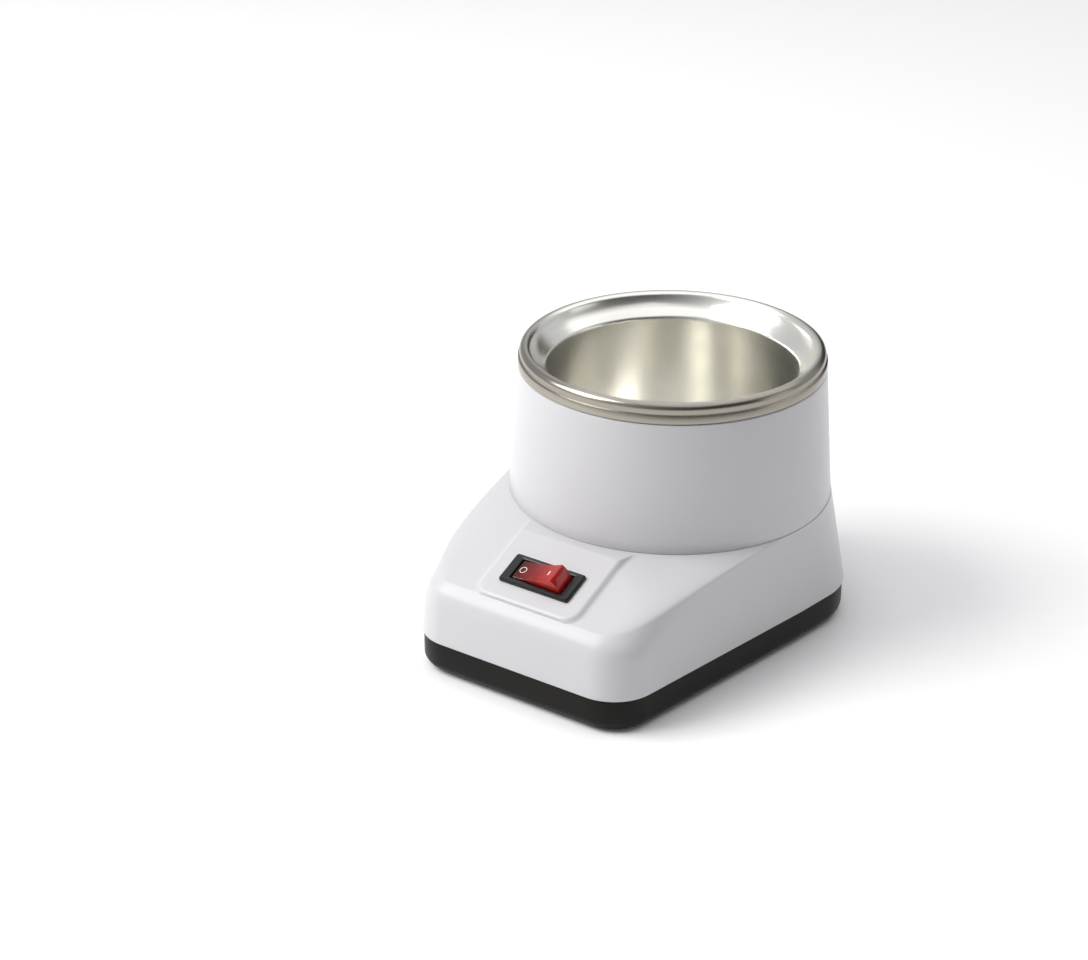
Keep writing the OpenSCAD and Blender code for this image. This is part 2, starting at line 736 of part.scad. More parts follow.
module switch_body() {
  color([0.07, 0.075, 0.075]) at_switch() difference() {
    union() {
      translate([0, 0, contact]) round_slab(bezel_l, bezel_w, flange_h - 0.5, 1);
      translate([0, 0, contact]) round_slab(bezel_l - 0.8, bezel_w - 0.8, flange_h, 0.8);
      translate([-switch_box_l / 2, -switch_box_w / 2, -switch_box_h])
        cube([switch_box_l, switch_box_w, switch_box_h + 1]);
      // snap wings under the panel
      for (side = [-1, 1]) translate([side * (switch_box_l / 2 + 0.5) - 0.5, -3, -8.5])
        cube([1, 6, 4]);
    }
    translate([-opening_l / 2, -opening_w / 2, -switch_box_h + switch_floor])
      cube([opening_l, opening_w, switch_box_h + 5]);
    translate([0, 0, pivot_z]) rotate([90, 0, 0])
      cylinder(h = 20, r = trunnion_r + trunnion_play, center = true, $fn = round_fn);
    for (x = terminal_x) translate([x - blade_t / 2 - contact, -blade_w / 2 - lap, -20])
      cube([blade_t + 2 * contact, blade_w + 2 * lap, 10]);
  }
}

module rocker_solid(grow) {
  intersection() {
    rotate([90, 0, 0])
      cylinder(h = rocker_w + 2 * grow, r = rocker_end_r + grow, center = true, $fn = round_fn);
    translate([-20, -20, -rocker_skirt]) cube([40, 40, 20]);
    difference() {
      translate([-20, -20, -20]) cube([40, 40, 40]);
      translate([0, 0, rocker_waist + grow + rocker_hollow_r]) rotate([90, 0, 0])
        cylinder(h = 60, r = rocker_hollow_r, center = true, $fn = round_fn);
    }
  }
}

module rocker() {
  post_half = 2.4;                             // half length of the post round the plunger
  pocket = [rocker_end_r - 4, rocker_w - 2 * rocker_wall, 2.5];
  color([0.8, 0.06, 0.05, 0.85]) at_switch() about_pivot(-rocker_tilt) {
    difference() {
      rocker_solid(0);
      // hollow either side of the plunger's post
      difference() {
        rocker_solid(-rocker_wall);
        translate([-post_half, -20, -20]) cube([2 * post_half, 40, 40]);
      }
      for (x = [-post_half - pocket[0], post_half])
        translate([x, -pocket[1] / 2, -rocker_skirt - 1]) cube(pocket);
      translate([0, 0, -plunger_reach]) cylinder(h = plunger_reach + 1, r = 1.5, $fn = round_fn);
    }
    rotate([90, 0, 0]) for (side = [-1, 1])
      translate([0, 0, side > 0 ? rocker_w / 2 - tiny : -rocker_w / 2 - 1.4 + tiny])
        cylinder(h = 1.4, r = trunnion_r, $fn = round_fn);
  }
}

module rocker_plunger() {
  pin_r = 1.1;
  color([0.85, 0.85, 0.8]) at_switch() about_pivot(-rocker_tilt)
    translate([0, 0, -plunger_reach + pin_r]) {
      cylinder(h = plunger_top + plunger_reach - pin_r, r = pin_r, $fn = round_fn);
      sphere(r = pin_r, $fn = round_fn);
      translate([0, 0, 0.7]) cylinder(h = 0.8, r = 1.45, $fn = round_fn);
    }
}

spring_turns = 3;

module plunger_spring() {
  spring_wire_r = 0.25;
  coil_r = 0.95;
  bottom = plunger_top + spring_wire_r + contact;
  pitch = (0.9 - bottom) / (spring_turns + 0.5);
  color([0.75, 0.75, 0.72]) at_switch() about_pivot(-rocker_tilt) {
    for (i = [0 : spring_turns]) translate([0, 0, bottom + i * pitch])
      rotate_extrude($fn = round_fn) translate([coil_r, 0]) circle(r = spring_wire_r, $fn = 24);
    for (i = [0 : spring_turns - 1]) rotate([0, 0, 180 * i])
      translate([coil_r, 0, bottom + i * pitch]) cylinder(h = pitch, r = 0.16, $fn = 24);
  }
}

module contact_lever() {
  lever = [18, 4, 0.6];
  color([0.8, 0.62, 0.35]) at_switch() translate([0, 0, lever_z]) rotate([0, lever_tilt, 0]) {
    translate([-lever[0] / 2, -lever[1] / 2, 0]) cube(lever);
    translate([-terminal_gap, 0, -0.7]) cylinder(h = 0.8, r = 1.2, $fn = round_fn);
    rotate([90, 0, 0]) cylinder(h = lever[1], r = knuckle_r, center = true, $fn = round_fn);
  }
}

module switch_terminals() {
  color([0.8, 0.65, 0.4]) at_switch() for (x = terminal_x) {
    top = x == 0 ? lever_z - knuckle_r - contact
      : (x < 0 ? lever_z - 2.4 : -switch_box_h + switch_floor + 0.8);
    translate([x - blade_t / 2, -blade_w / 2, -switch_box_h - blade_drop])
      cube([blade_t, blade_w, switch_box_h + blade_drop + top]);
    // fixed contact under the lever
    if (x < 0) translate([x, 0, top - 0.5]) cylinder(h = 0.8, r = 1.2, $fn = round_fn);
  }
}

module neon_lamp() {
  lamp_l = 3;
  lamp_r = 1.2;
  color([1, 0.55, 0.3]) at_switch() translate([4, 0, -4.6]) rotate([0, 90, 0]) {
    cylinder(h = lamp_l, r = lamp_r, $fn = round_fn);
    translate([0, 0, lamp_l]) sphere(r = lamp_r, $fn = round_fn);
  }
}

// ---- wiring ----
wire_r = 0.9;
thermostat_tab_front = [thermostat_x, -12.4, 24.8];
thermostat_tab_rear = [thermostat_x, 12.4, 24.8];
// point below a switch blade, in the pot's frame
function under_blade(x, drop) = let(z = pad_h - switch_box_h - blade_drop - drop)
  [x, switch_yz[0] - z * sin(deck_angle), switch_yz[1] + z * cos(deck_angle)];

module wire_live() {
  color([0.45, 0.25, 0.12]) at_pot() run_of([[-9, block_y - 7.2, tray_floor_z + 4.6],
    [-12, 20, 9.5], [-12, -52, 9.5], under_blade(-terminal_gap, 6),
    under_blade(-terminal_gap, 0.3)], wire_r);
}

module wire_switched() {
  color([0.45, 0.25, 0.12]) at_pot() run_of([under_blade(0, 0.3), under_blade(0, 5),
    [12, -60, 10], [wire_hole[0], wire_hole[1], 14], [wire_hole[0], wire_hole[1], 22],
    thermostat_tab_front], wire_r);
}

module wire_neutral() {
  color([0.12, 0.25, 0.55]) at_pot() run_of([[0, block_y - 7.2, tray_floor_z + 4.6],
    [0, 24, 6], [-wire_hole[0], -10, 6], [-wire_hole[0], wire_hole[1], 12],
    [-wire_hole[0], wire_hole[1], 23], [fuse_x, -13.6, fuse_z]], wire_r);
}

module wire_earth() {
  color([0.35, 0.6, 0.15]) at_pot() {
    run_of([[9, block_y - 7.2, tray_floor_z + 4.6], [9, 30, 12.2], [-26, 14, 12.2],
      [earth_x, 9, 11.8], [earth_x, 4.2, 12.2], [earth_x, 4.2, strap_z - 0.6]], wire_r);
    // ring tag under the earth screw
    translate([earth_x, 0, strap_z - 1 - contact]) tube(1, 4, 2);
    translate([earth_x - 1.2, 3, strap_z - 1 - contact]) cube([2.4, 2.5, 1]);
  }
}

module heater_lead_left() {
  color([0.85, 0.82, 0.75]) at_pot() run_of([[-5, 53.2, band_z - 0.3], [-5, 53.2, 32],
    [-12, 46, 25.2], [fuse_x, 20, 25.2], [fuse_x, 13.6, fuse_z]], wire_r);
}

module heater_lead_right() {
  color([0.85, 0.82, 0.75]) at_pot() run_of([[5, 53.2, band_z - 0.3], [5, 53.2, 32],
    [12, 46, 25.2], [thermostat_x, 20, 25.2], thermostat_tab_rear], wire_r);
}

collar();
lower_housing();
base_tray();
well_liner();
centre_stud();
stud_nut();
stud_washer();
support_strap();
strap_screws();
heat_shield();
heater_band();
band_clamp_screw();
insulation_sleeve();
thermostat();
thermostat_bracket();
bracket_nut();
thermal_fuse();
fuse_clip();
collar_screws();
tray_screws();
rubber_feet();
cord_bushing();
bushing_nut();
terminal_block();
terminal_screws();
switch_body();
rocker();
rocker_plunger();
plunger_spring();
contact_lever();
switch_terminals();
neon_lamp();
wire_live();
wire_switched();
wire_neutral();
wire_earth();
heater_lead_left();
heater_lead_right();
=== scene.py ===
import json
import math

import bmesh
import bpy
from mathutils import Matrix, Vector


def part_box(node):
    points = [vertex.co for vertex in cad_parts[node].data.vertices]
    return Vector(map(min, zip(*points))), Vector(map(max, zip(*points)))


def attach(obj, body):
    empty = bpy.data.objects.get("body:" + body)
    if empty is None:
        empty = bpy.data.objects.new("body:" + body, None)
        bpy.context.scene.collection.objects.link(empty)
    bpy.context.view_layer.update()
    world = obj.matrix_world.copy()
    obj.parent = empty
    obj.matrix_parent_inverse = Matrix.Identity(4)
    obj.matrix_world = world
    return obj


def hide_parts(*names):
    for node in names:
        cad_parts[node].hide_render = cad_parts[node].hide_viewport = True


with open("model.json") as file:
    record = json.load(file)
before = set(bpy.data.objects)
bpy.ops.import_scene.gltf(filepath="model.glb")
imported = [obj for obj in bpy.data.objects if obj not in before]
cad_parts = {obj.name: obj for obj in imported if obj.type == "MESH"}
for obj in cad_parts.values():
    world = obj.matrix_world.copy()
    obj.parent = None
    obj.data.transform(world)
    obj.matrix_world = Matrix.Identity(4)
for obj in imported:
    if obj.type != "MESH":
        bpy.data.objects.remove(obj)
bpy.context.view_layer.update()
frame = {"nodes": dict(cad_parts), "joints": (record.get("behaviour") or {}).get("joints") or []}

MM = 0.001

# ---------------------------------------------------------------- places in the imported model
rim_lo, rim_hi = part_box("well_liner")
collar_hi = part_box("collar")[1]
housing_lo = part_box("lower_housing")[0]
tray_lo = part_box("base_tray")[0]
rocker_joint = next(j for j in frame["joints"] if j["name"] == "rocker_hinge")
# the foot of the pot's axis, and the rocker's hinge with the switch's own axes
POT = Vector(((rim_lo.x + rim_hi.x) / 2, (rim_lo.y + rim_hi.y) / 2, 0))
PIVOT = Vector(rocker_joint["pos_m"])
X_AX = Vector((1, 0, 0))
Y_AX = Vector(rocker_joint["axis"]).normalized()
Z_AX = X_AX.cross(Y_AX)
DECK = math.atan2(Y_AX.z, Y_AX.y)

# sizes in millimetres; heights are from the table, places from the pot's axis
SKIRT_STEP = 0.6
RIM_R = (rim_hi.x - rim_lo.x) / 2 / MM - SKIRT_STEP
RIM_Z = rim_hi.z / MM
COLLAR_TOP = RIM_Z - 7.8
COLLAR_TOP_R = 60.6
WELL_R = 49.2
WELL_DEEP = 82
PARTING = 52.2
DISC_R = 64.4
HOUSING_Z = housing_lo.z / MM
TRAY_Z = tray_lo.z / MM
TRAY_TOP = 14.05
TRAY_FLOOR = 2.5
TRAY_SCREWS = ((33, -84), (-33, -84), (44, 36), (-44, 36))
FEET = ((-32, -64), (32, -64), (-31, 40), (31, 40))
CORD_Z = 30
BOSS_FOOT_Y = 68.5
BOSS_FACE_Y = 72.5
SWITCH_RUN = 23.3
PIVOT_DROP = 0.8
REST_TURN = math.radians(-16)
# the raised pad round the switch; its front is measured down the deck from the switch
PAD_H, PAD_HALF_W, PAD_FRONT, PAD_CORNER, PAD_SLOPE = 1.5, 22.1, -13.0, 5.0, 2.7


# ---------------------------------------------------------------- mesh helpers
# edges sharper than SHARP degrees stay sharp; points closer than MERGE metres are merged
SHARP = 32
MERGE = 2e-7


def mesh_object(name, verts, faces, matrix=None):
    """A mesh object from points in millimetres, round the pot's axis unless there is a matrix."""
    mesh = bpy.data.meshes.new(name)
    place = matrix or Matrix.Translation(POT)
    mesh.from_pydata([place @ (Vector(v) * MM) for v in verts], [], faces)
    mesh.validate()
    obj = bpy.data.objects.new(name, mesh)
    bpy.context.scene.collection.objects.link(obj)
    tidy_normals(obj)
    return obj


def tidy_normals(obj, sharp_deg=SHARP):
    """Merges doubled points, turns the faces outward and shades them smooth up to an angle."""
    bm = bmesh.new()
    bm.from_mesh(obj.data)
    bmesh.ops.remove_doubles(bm, verts=bm.verts, dist=MERGE)
    bmesh.ops.recalc_face_normals(bm, faces=bm.faces)
    for f in bm.faces:
        f.smooth = True
    limit = math.radians(sharp_deg)
    for e in bm.edges:
        e.smooth = not (len(e.link_faces) == 2 and e.calc_face_angle(0) > limit)
    bm.to_mesh(obj.data)
    bm.free()


def loops_mesh(name, loops, matrix=None):
    """Skins closed loops that all have the same number of points, and closes both ends."""
    n = len(loops[0])
    verts = [p for loop in loops for p in loop]
    faces = []
    for a in range(len(loops) - 1):
        b = a + 1
        for i in range(n):
            k = (i + 1) % n
            faces.append((a * n + i, a * n + k, b * n + k, b * n + i))
    faces.append(tuple(range(n))[::-1])
    faces.append(tuple((len(loops) - 1) * n + i for i in range(n)))
    return mesh_object(name, verts, faces, matrix)


def lathe(name, profile, steps=192, matrix=None, closed=True):
    """Turns a profile of (radius, height) points about the vertical axis."""
    verts, faces, rows = [], [], []
    for r, z in profile:
        if r < 1e-6:
            rows.append([len(verts)])
            verts.append((0, 0, z))
        else:
            rows.append(list(range(len(verts), len(verts) + steps)))
            for i in range(steps):
                a = 2 * math.pi * i / steps
                verts.append((r * math.cos(a), r * math.sin(a), z))
    pairs = list(zip(rows, rows[1:]))
    if closed:
        pairs.append((rows[-1], rows[0]))
    for a, b in pairs:
        for i in range(steps):
            k = (i + 1) % steps
            if len(a) == 1 and len(b) == 1:
                continue
            if len(a) == 1:
                faces.append((a[0], b[k], b[i]))
            elif len(b) == 1:
                faces.append((a[i], a[k], b[0]))
            else:
                faces.append((a[i], a[k], b[k], b[i]))
    return mesh_object(name, verts, faces, matrix)


def arc(cx, cz, r, a0, a1, steps):
    """Points round a centre from angle a0 to a1, in degrees."""
    out = []
    for i in range(steps + 1):
        a = math.radians(a0 + (a1 - a0) * i / steps)
        out.append((cx + r * math.cos(a), cz + r * math.sin(a)))
    return out


def bend(start, corner, end, steps):
    """Points of a soft bend from start to end, drawn toward corner, without start."""
    out = []
    for i in range(1, steps + 1):
        t = i / steps
        out.append(tuple((1 - t) ** 2 * a + 2 * t * (1 - t) * c + t * t * b
                         for a, c, b in zip(start, corner, end)))
    return out


def apply_modifiers(obj):
    """Puts the modifiers' result in place of the object's mesh."""
    dg = bpy.context.evaluated_depsgraph_get()
    mesh = bpy.data.meshes.new_from_object(obj.evaluated_get(dg))
    old = obj.data
    obj.modifiers.clear()
    obj.data = mesh
    mesh.name = obj.name
    bpy.data.meshes.remove(old)


def combine(obj, tools, operation, sharp_deg=SHARP):
    """Joins solids to obj, or cuts them from it, and removes them."""
    for tool in tools:
        mod = obj.modifiers.new("cut", "BOOLEAN")
        mod.operation = operation
        mod.solver = "EXACT"
        mod.object = tool
    bpy.context.view_layer.update()
    apply_modifiers(obj)
    for tool in tools:
        bpy.data.objects.remove(tool)
    tidy_normals(obj, sharp_deg)


def rod(name, r, z0, z1, matrix, steps):
    """A plain round rod, used as a cutter or a pin."""
    return lathe(name, [(0, z0), (r, z0), (r, z1), (0, z1)], steps, matrix, closed=False)


def smoothstep(x):
    x = max(0.0, min(1.0, x))
    return x * x * (3 - 2 * x)


def on_cord_axis(y):
    """Frame on the cord entry's axis with its Z axis pointing to the rear."""
    place = Matrix.Translation(POT + Vector((0, y, CORD_Z)) * MM)
    return place @ Matrix.Rotation(-math.pi / 2, 4, "X")


def over(x, y):
    """Upright frame over a place on the table."""
    return Matrix.Translation(POT + Vector((x, y, 0)) * MM)


AXES = Matrix((X_AX, Y_AX, Z_AX)).transposed().to_4x4()
SWITCH = Matrix.Translation(PIVOT + Z_AX * (PIVOT_DROP * MM)) @ AXES
ROCKER_AT_REST = Matrix.Translation(PIVOT) @ AXES @ Matrix.Rotation(REST_TURN, 4, "Y")

# ---------------------------------------------------------------- plan of the base
# rounds of the plan on the +X side, as (x, y, radius)
PLAN = ((34.2, -88.0, 18.0), (36.0, 20.0, 30.0), (0.0, 6.1, 64.5))
CORNER_X = PLAN[0][0]
# the deck's front corner: a ring of radius RING_R about (CORNER_X, RING_Y), as thick as the
# edge's round
RING_Y, RING_R, EDGE_R, EDGE_Z = -87.5, 7.0, 10.0, 28.6
COS_D, SIN_D = math.cos(DECK), math.sin(DECK)
# where the round edge meets the sloping deck, and how far out the side reaches there
LOW_Z = EDGE_Z + EDGE_R * COS_D
LOW_R = RING_R + EDGE_R * SIN_D
SIDE_TURN = math.radians(-7.7)
SIDE_LOW = CORNER_X * math.cos(SIDE_TURN) + RING_Y * math.sin(SIDE_TURN) + LOW_R
# runs are measured up the deck from the switch's middle
RUN_LOW = SWITCH_RUN - (PARTING - LOW_Z) / SIN_D
WALL = 2.5
HOLE_X, HOLE_Y = 14.35, 6.15
# the lip that the collar drops over, and the ledge inside it
LIP_OUT, LIP_IN, LIP_H, LEDGE_R = 60.6, 59.2, 2, 55.5
# distances from the middle where the front's columns of points stand: hole, gap, pad's edge, gap
COLUMNS = ([HOLE_X * i / 10 for i in range(11)] + [15.6, 16.6]
           + [17.2 + 0.4 * i for i in range(19)] + [25.2, 26.2])
# points along the rest of each half outline, and how much a radian of turning counts beside length
SIDE_POINTS = 130
TURN_WEIGHT = 30.0
HEADINGS = [math.radians(-90 + i) for i in range(181)]


def housing_rounds(inset):
    """Level rounds whose hull is the housing, as (height, x, y, radius), drawn in by inset."""
    rounds = [(HOUSING_Z, x, y, r - inset) for x, y, r in PLAN]
    for i in range(41):
        b = math.radians(-90 + 4.5 * i)
        rounds.append((EDGE_Z + (EDGE_R - inset) * math.sin(b), CORNER_X, RING_Y,
                       RING_R + (EDGE_R - inset) * math.cos(b)))
    for i in range(1, 40):
        t = (i / 40) ** 2
        z = LOW_Z + t * (PARTING - LOW_Z)
        r = LOW_R + (DISC_R - LOW_R) * t ** 3
        reach = SIDE_LOW + (DISC_R - SIDE_LOW) * math.sqrt(t)
        y = -DISC_R - (PARTING - z) / math.tan(DECK) + r
        x = max(0.0, (reach - r - y * math.sin(SIDE_TURN)) / math.cos(SIDE_TURN))
        rounds.append((z - inset * COS_D, x, y, r - inset * SIN_D))
    rounds.append((PARTING - inset, 0.0, 0.0, DISC_R - inset))
    return sorted(rounds)


def envelopes(rounds):
    """For each heading, the rounds' outermost points that the hull touches, by height."""
    out = []
    for a in HEADINGS:
        c, s = math.cos(a), math.sin(a)
        best = {}
        for z, x, y, r in rounds:
            h = x * c + y * s + r
            if z not in best or h > best[z][1]:
                best[z] = (z, h, x + r * c, y + r * s)
        chain = []
        for z in sorted(best):
            q = best[z]
            while len(chain) > 1:
                (z0, h0), (z1, h1) = chain[-2][:2], chain[-1][:2]
                if (h1 - h0) * (q[0] - z0) > (q[1] - h0) * (z1 - z0):
                    break
                chain.pop()
            chain.append(q)
        out.append(chain)
    return out


def section(chains, z):
    """Right half of the hull's outline at a height, one point per heading."""
    line = []
    for chain in chains:
        zz = max(chain[0][0], min(chain[-1][0], z))
        i = 1
        while i < len(chain) - 1 and chain[i][0] < zz:
            i += 1
        p, q = chain[i - 1], chain[i]
        k = (zz - p[0]) / (q[0] - p[0])
        line.append((p[2] + (q[2] - p[2]) * k, p[3] + (q[3] - p[3]) * k))
    return line


def plan_section(inset):
    """The same for the plan's own rounds, drawn in by inset."""
    line = []
    for a in HEADINGS:
        c, s = math.cos(a), math.sin(a)
        reach = max((x * c + y * s + r - inset, x + (r - inset) * c, y + (r - inset) * s)
                    for x, y, r in PLAN)
        line.append(reach[1:])
    return line


def spaced(line, cut=0.0):
    """Half outline with points at the fixed columns, then spread by length and turning.

    cut draws the outline in.
    """
    pts = [(0.0, line[0][1])] + list(line)
    turn = [HEADINGS[0]] + HEADINGS
    pts[-1] = (0.0, pts[-1][1])
    if cut:
        pts = [(x - cut * math.cos(a), y - cut * math.sin(a)) for (x, y), a in zip(pts, turn)]
        pts[-1] = (0.0, pts[-1][1])
    out = []
    i = 0
    for x in COLUMNS:
        while pts[i + 1][0] < x:
            i += 1
        (x0, y0), (x1, y1) = pts[i], pts[i + 1]
        k = (x - x0) / (x1 - x0) if x1 > x0 else 0.0
        out.append((x, y0 + (y1 - y0) * k))
    at = [0.0]
    track = [(out[-1][0], out[-1][1])]
    last_turn = turn[i] + (turn[i + 1] - turn[i]) * k
    for j in range(i + 1, len(pts)):
        step = math.dist(track[-1], pts[j]) + TURN_WEIGHT * (turn[j] - last_turn)
        last_turn = turn[j]
        at.append(at[-1] + step)
        track.append(pts[j])
    j = 0
    for m in range(1, SIDE_POINTS + 1):
        w = at[-1] * m / SIDE_POINTS
        while j < len(at) - 2 and at[j + 1] < w:
            j += 1
        k = (w - at[j]) / max(at[j + 1] - at[j], 1e-9)
        out.append((track[j][0] + (track[j + 1][0] - track[j][0]) * k,
                    track[j][1] + (track[j + 1][1] - track[j][1]) * k))
    return out


def full_loop(half, z):
    """Mirrors a half outline into a closed loop at a height."""
    loop = [(x, y, z) for x, y in half]
    loop[-1] = (0.0, half[-1][1], z)
    return loop + [(-x, y, z) for x, y in half[-2:0:-1]]


# ---------------------------------------------------------------- lower housing
def deck_height(run):
    """Height of the deck's plane, run up the deck from the switch's middle."""
    return PARTING - (SWITCH_RUN - run) * SIN_D


def raise_pad(loop):
    """Lifts the deck to the pad's flat top, inside the pad's rounded outline."""
    out = []
    for x, y, z in loop:
        dy = y + DISC_R + SWITCH_RUN * COS_D
        dz = z - PARTING + SWITCH_RUN * SIN_D
        run = dy * COS_D + dz * SIN_D
        up = -dy * SIN_D + dz * COS_D
        on_deck = up > -6 and y < 0
        if abs(x) < PAD_HALF_W + PAD_SLOPE and run > PAD_FRONT - PAD_SLOPE and on_deck:
            # distance outside the pad's rounded outline
            qx = abs(x) - (PAD_HALF_W - PAD_CORNER)
            qy = (PAD_FRONT + PAD_CORNER) - run
            far = math.hypot(max(qx, 0), max(qy, 0)) + min(max(qx, qy), 0) - PAD_CORNER
            up += (PAD_H - up) * smoothstep(1 - far / PAD_SLOPE)
            y = -DISC_R - SWITCH_RUN * COS_D + run * COS_D - up * SIN_D
            z = min(PARTING - SWITCH_RUN * SIN_D + run * SIN_D + up * COS_D, PARTING - 0.02)
        out.append((x, y, z))
    return out


def ring_at(chains, z, cut=0.0):
    """Closed outline of the hull at a height."""
    return full_loop(spaced(section(chains, z), cut), z)


def outside_loops():
    """The outside from foot to parting line, and the first and last row of the switch's hole."""
    chains = envelopes(housing_rounds(0))
    foot_round, edge_start = 0.4, -0.2
    outer = [ring_at(chains, HOUSING_Z + rise, cut)
             for rise, cut in ((0, 0.35), (0.12, 0.1), (foot_round, 0))]
    wall_foot, wall_top = HOUSING_Z + foot_round, EDGE_Z + EDGE_R * edge_start
    outer += [ring_at(chains, wall_foot + (wall_top - wall_foot) * i / 9) for i in range(1, 9)]
    low = math.degrees(math.asin(edge_start))
    high = 90 - math.degrees(DECK)
    for i in range(28):
        b = math.radians(low + (high - low) * i / 28)
        outer.append(ring_at(chains, EDGE_Z + EDGE_R * math.sin(b)))
    # runs up the deck: over the pad's front slope, the hole, the pad's flat, and its end under
    # the collar
    below = [RUN_LOW + 0.4 * i for i in range(15)] + [-7.6, -6.8]
    hole = [-HOLE_Y + 2 * HOLE_Y * i / 10 for i in range(11)]
    above = [7.2 + 1.1 * i for i in range(10)] + [17.8 + 0.45 * i for i in range(12)] + [23.1]
    hole_lo = len(outer) + len(below)
    outer += [raise_pad(ring_at(chains, deck_height(run))) for run in below + hole + above]
    return outer, hole_lo, hole_lo + len(hole) - 1


def inside_loops():
    """The inside from ledge to foot; the third and fourth loops end at the switch's hole."""
    chains = envelopes(housing_rounds(WALL))
    heights = [PARTING - WALL - 0.01]
    heights += [deck_height(run) - WALL * COS_D for run in (14.0, HOLE_Y, -HOLE_Y, RUN_LOW)]
    heights += [EDGE_Z + (EDGE_R - WALL) * math.sin(math.radians(b)) for b in (55, 40, 25, 8)]
    return [ring_at(chains, z) for z in heights + [HOUSING_Z]]


def build_housing():
    outer, hole_lo, hole_hi = outside_loops()
    n = len(outer[0])
    turns = [math.atan2(p[1], p[0]) for p in outer[-1]]
    ledge = ((DISC_R - 0.25, 0), (LIP_OUT, 0), (LIP_OUT, LIP_H), (LIP_IN, LIP_H), (LIP_IN, 0),
             (LEDGE_R, 0), (LEDGE_R, -WALL))
    top = [[(r * math.cos(a), r * math.sin(a), PARTING + rise) for a in turns] for r, rise in ledge]
    loops = outer + top + inside_loops()
    verts = [p for loop in loops for p in loop]
    rows = [(a, a + 1) for a in range(len(loops) - 1)] + [(len(loops) - 1, 0)]
    in_hi = len(outer) + len(top) + 2
    in_lo = in_hi + 1
    edge = COLUMNS.index(HOLE_X)
    faces = []
    for a, b in rows:
        beside_hole = hole_lo <= a < b <= hole_hi or (a, b) == (in_hi, in_lo)
        for i in range(n):
            if beside_hole and (i < edge or i >= n - edge):
                continue
            k = (i + 1) % n
            faces.append((a * n + i, a * n + k, b * n + k, b * n + i))
    # the four walls of the hole
    cols = list(range(n - edge, n)) + list(range(0, edge + 1))
    for c, d in zip(cols, cols[1:]):
        faces.append((hole_hi * n + c, hole_hi * n + d, in_hi * n + d, in_hi * n + c))
        faces.append((hole_lo * n + d, hole_lo * n + c, in_lo * n + c, in_lo * n + d))
    for c in (cols[0], cols[-1]):
        wall = tuple(row * n + c for row in range(hole_lo, hole_hi + 1))
        faces.append(wall + (in_hi * n + c, in_lo * n + c))
    shell = mesh_object("housing_shell", verts, faces)
    # the cord's boss, sunk into the wall, with its bore
    boss_r, boss_h, sunk, bore_r = 10, BOSS_FACE_Y - BOSS_FOOT_Y, 6, 5.5
    profile = [(0, -sunk), (boss_r, -sunk), (boss_r, boss_h - 0.4), (boss_r - 0.25, boss_h - 0.1),
               (boss_r - 0.6, boss_h), (0, boss_h)]
    boss = lathe("boss", profile, 96, on_cord_axis(BOSS_FOOT_Y), closed=False)
    combine(shell, [boss], "UNION")
    combine(shell, [rod("bore", bore_r, -12, 10, on_cord_axis(BOSS_FOOT_Y), 96)], "DIFFERENCE", 40)
    return shell


# ---------------------------------------------------------------- materials
def material(name, colour, rough, metal=0.0):
    mat = bpy.data.materials.new(name)
    mat.use_nodes = True
    nt = mat.node_tree
    shader = nt.nodes["Principled BSDF"]
    shader.inputs["Base Color"].default_value = (*colour, 1)
    shader.inputs["Roughness"].default_value = rough
    shader.inputs["Metallic"].default_value = metal
    return mat, nt, shader


def node(nt, kind, **values):
    """A new node; values go to the inputs of that name, or else to its properties."""
    made = nt.nodes.new(kind)
    for key, value in values.items():
        if key in made.inputs:
            made.inputs[key].default_value = value
        else:
            setattr(made, key, value)
    return made


def maths(nt, operation, *values):
    """A maths node fed with signals or plain numbers."""
    made = node(nt, "ShaderNodeMath", operation=operation)
    for socket, value in zip(made.inputs, values):
        if isinstance(value, (int, float)):
            socket.default_value = value
        else:
            nt.links.new(value, socket)
    return made.outputs[0]


def noise(nt, scale, detail=3.0, rough=0.5, at=None):
    """Noise over the object's own coordinates, or over the vector signal at."""
    if at is None:
        at = node(nt, "ShaderNodeTexCoord").outputs["Object"]
    tex = node(nt, "ShaderNodeTexNoise", Scale=scale, Detail=detail, Roughness=rough)
    nt.links.new(at, tex.inputs["Vector"])
    return tex.outputs["Fac"]


def span(nt, value, lo, hi, a=0.3, b=0.7):
    """Maps a signal from a..b onto lo..hi and holds it there."""
    m = node(nt, "ShaderNodeMapRange", clamp=True)
    for key, number in (("From Min", a), ("From Max", b), ("To Min", lo), ("To Max", hi)):
        m.inputs[key].default_value = number
    nt.links.new(value, m.inputs["Value"])
    return m.outputs["Result"]


def blend_colours(nt, factor, one, two):
    """Mixes two colours, each a plain colour or a signal."""
    mix = node(nt, "ShaderNodeMix", data_type="RGBA")
    nt.links.new(factor, mix.inputs["Factor"])
    # sockets 6 and 7 are the colour inputs, and output 2 is the colour
    for socket, value in ((mix.inputs[6], one), (mix.inputs[7], two)):
        if isinstance(value, tuple):
            socket.default_value = (*value, 1)
        else:
            nt.links.new(value, socket)
    return mix.outputs[2]


def bump(nt, shader, height, strength, distance, under=None):
    """Sets the shader's normal; under is the normal of a finer bump below this one."""
    b = node(nt, "ShaderNodeBump", Strength=strength, Distance=distance)
    nt.links.new(height, b.inputs["Height"])
    if under:
        nt.links.new(under, b.inputs["Normal"])
    nt.links.new(b.outputs["Normal"], shader.inputs["Normal"])
    return b.outputs["Normal"]


def pointy(nt, lo, hi):
    """0 on flats and hollows, rising to 1 on convex edges."""
    g = node(nt, "ShaderNodeNewGeometry")
    return span(nt, g.outputs["Pointiness"], 0.0, 1.0, lo, hi)


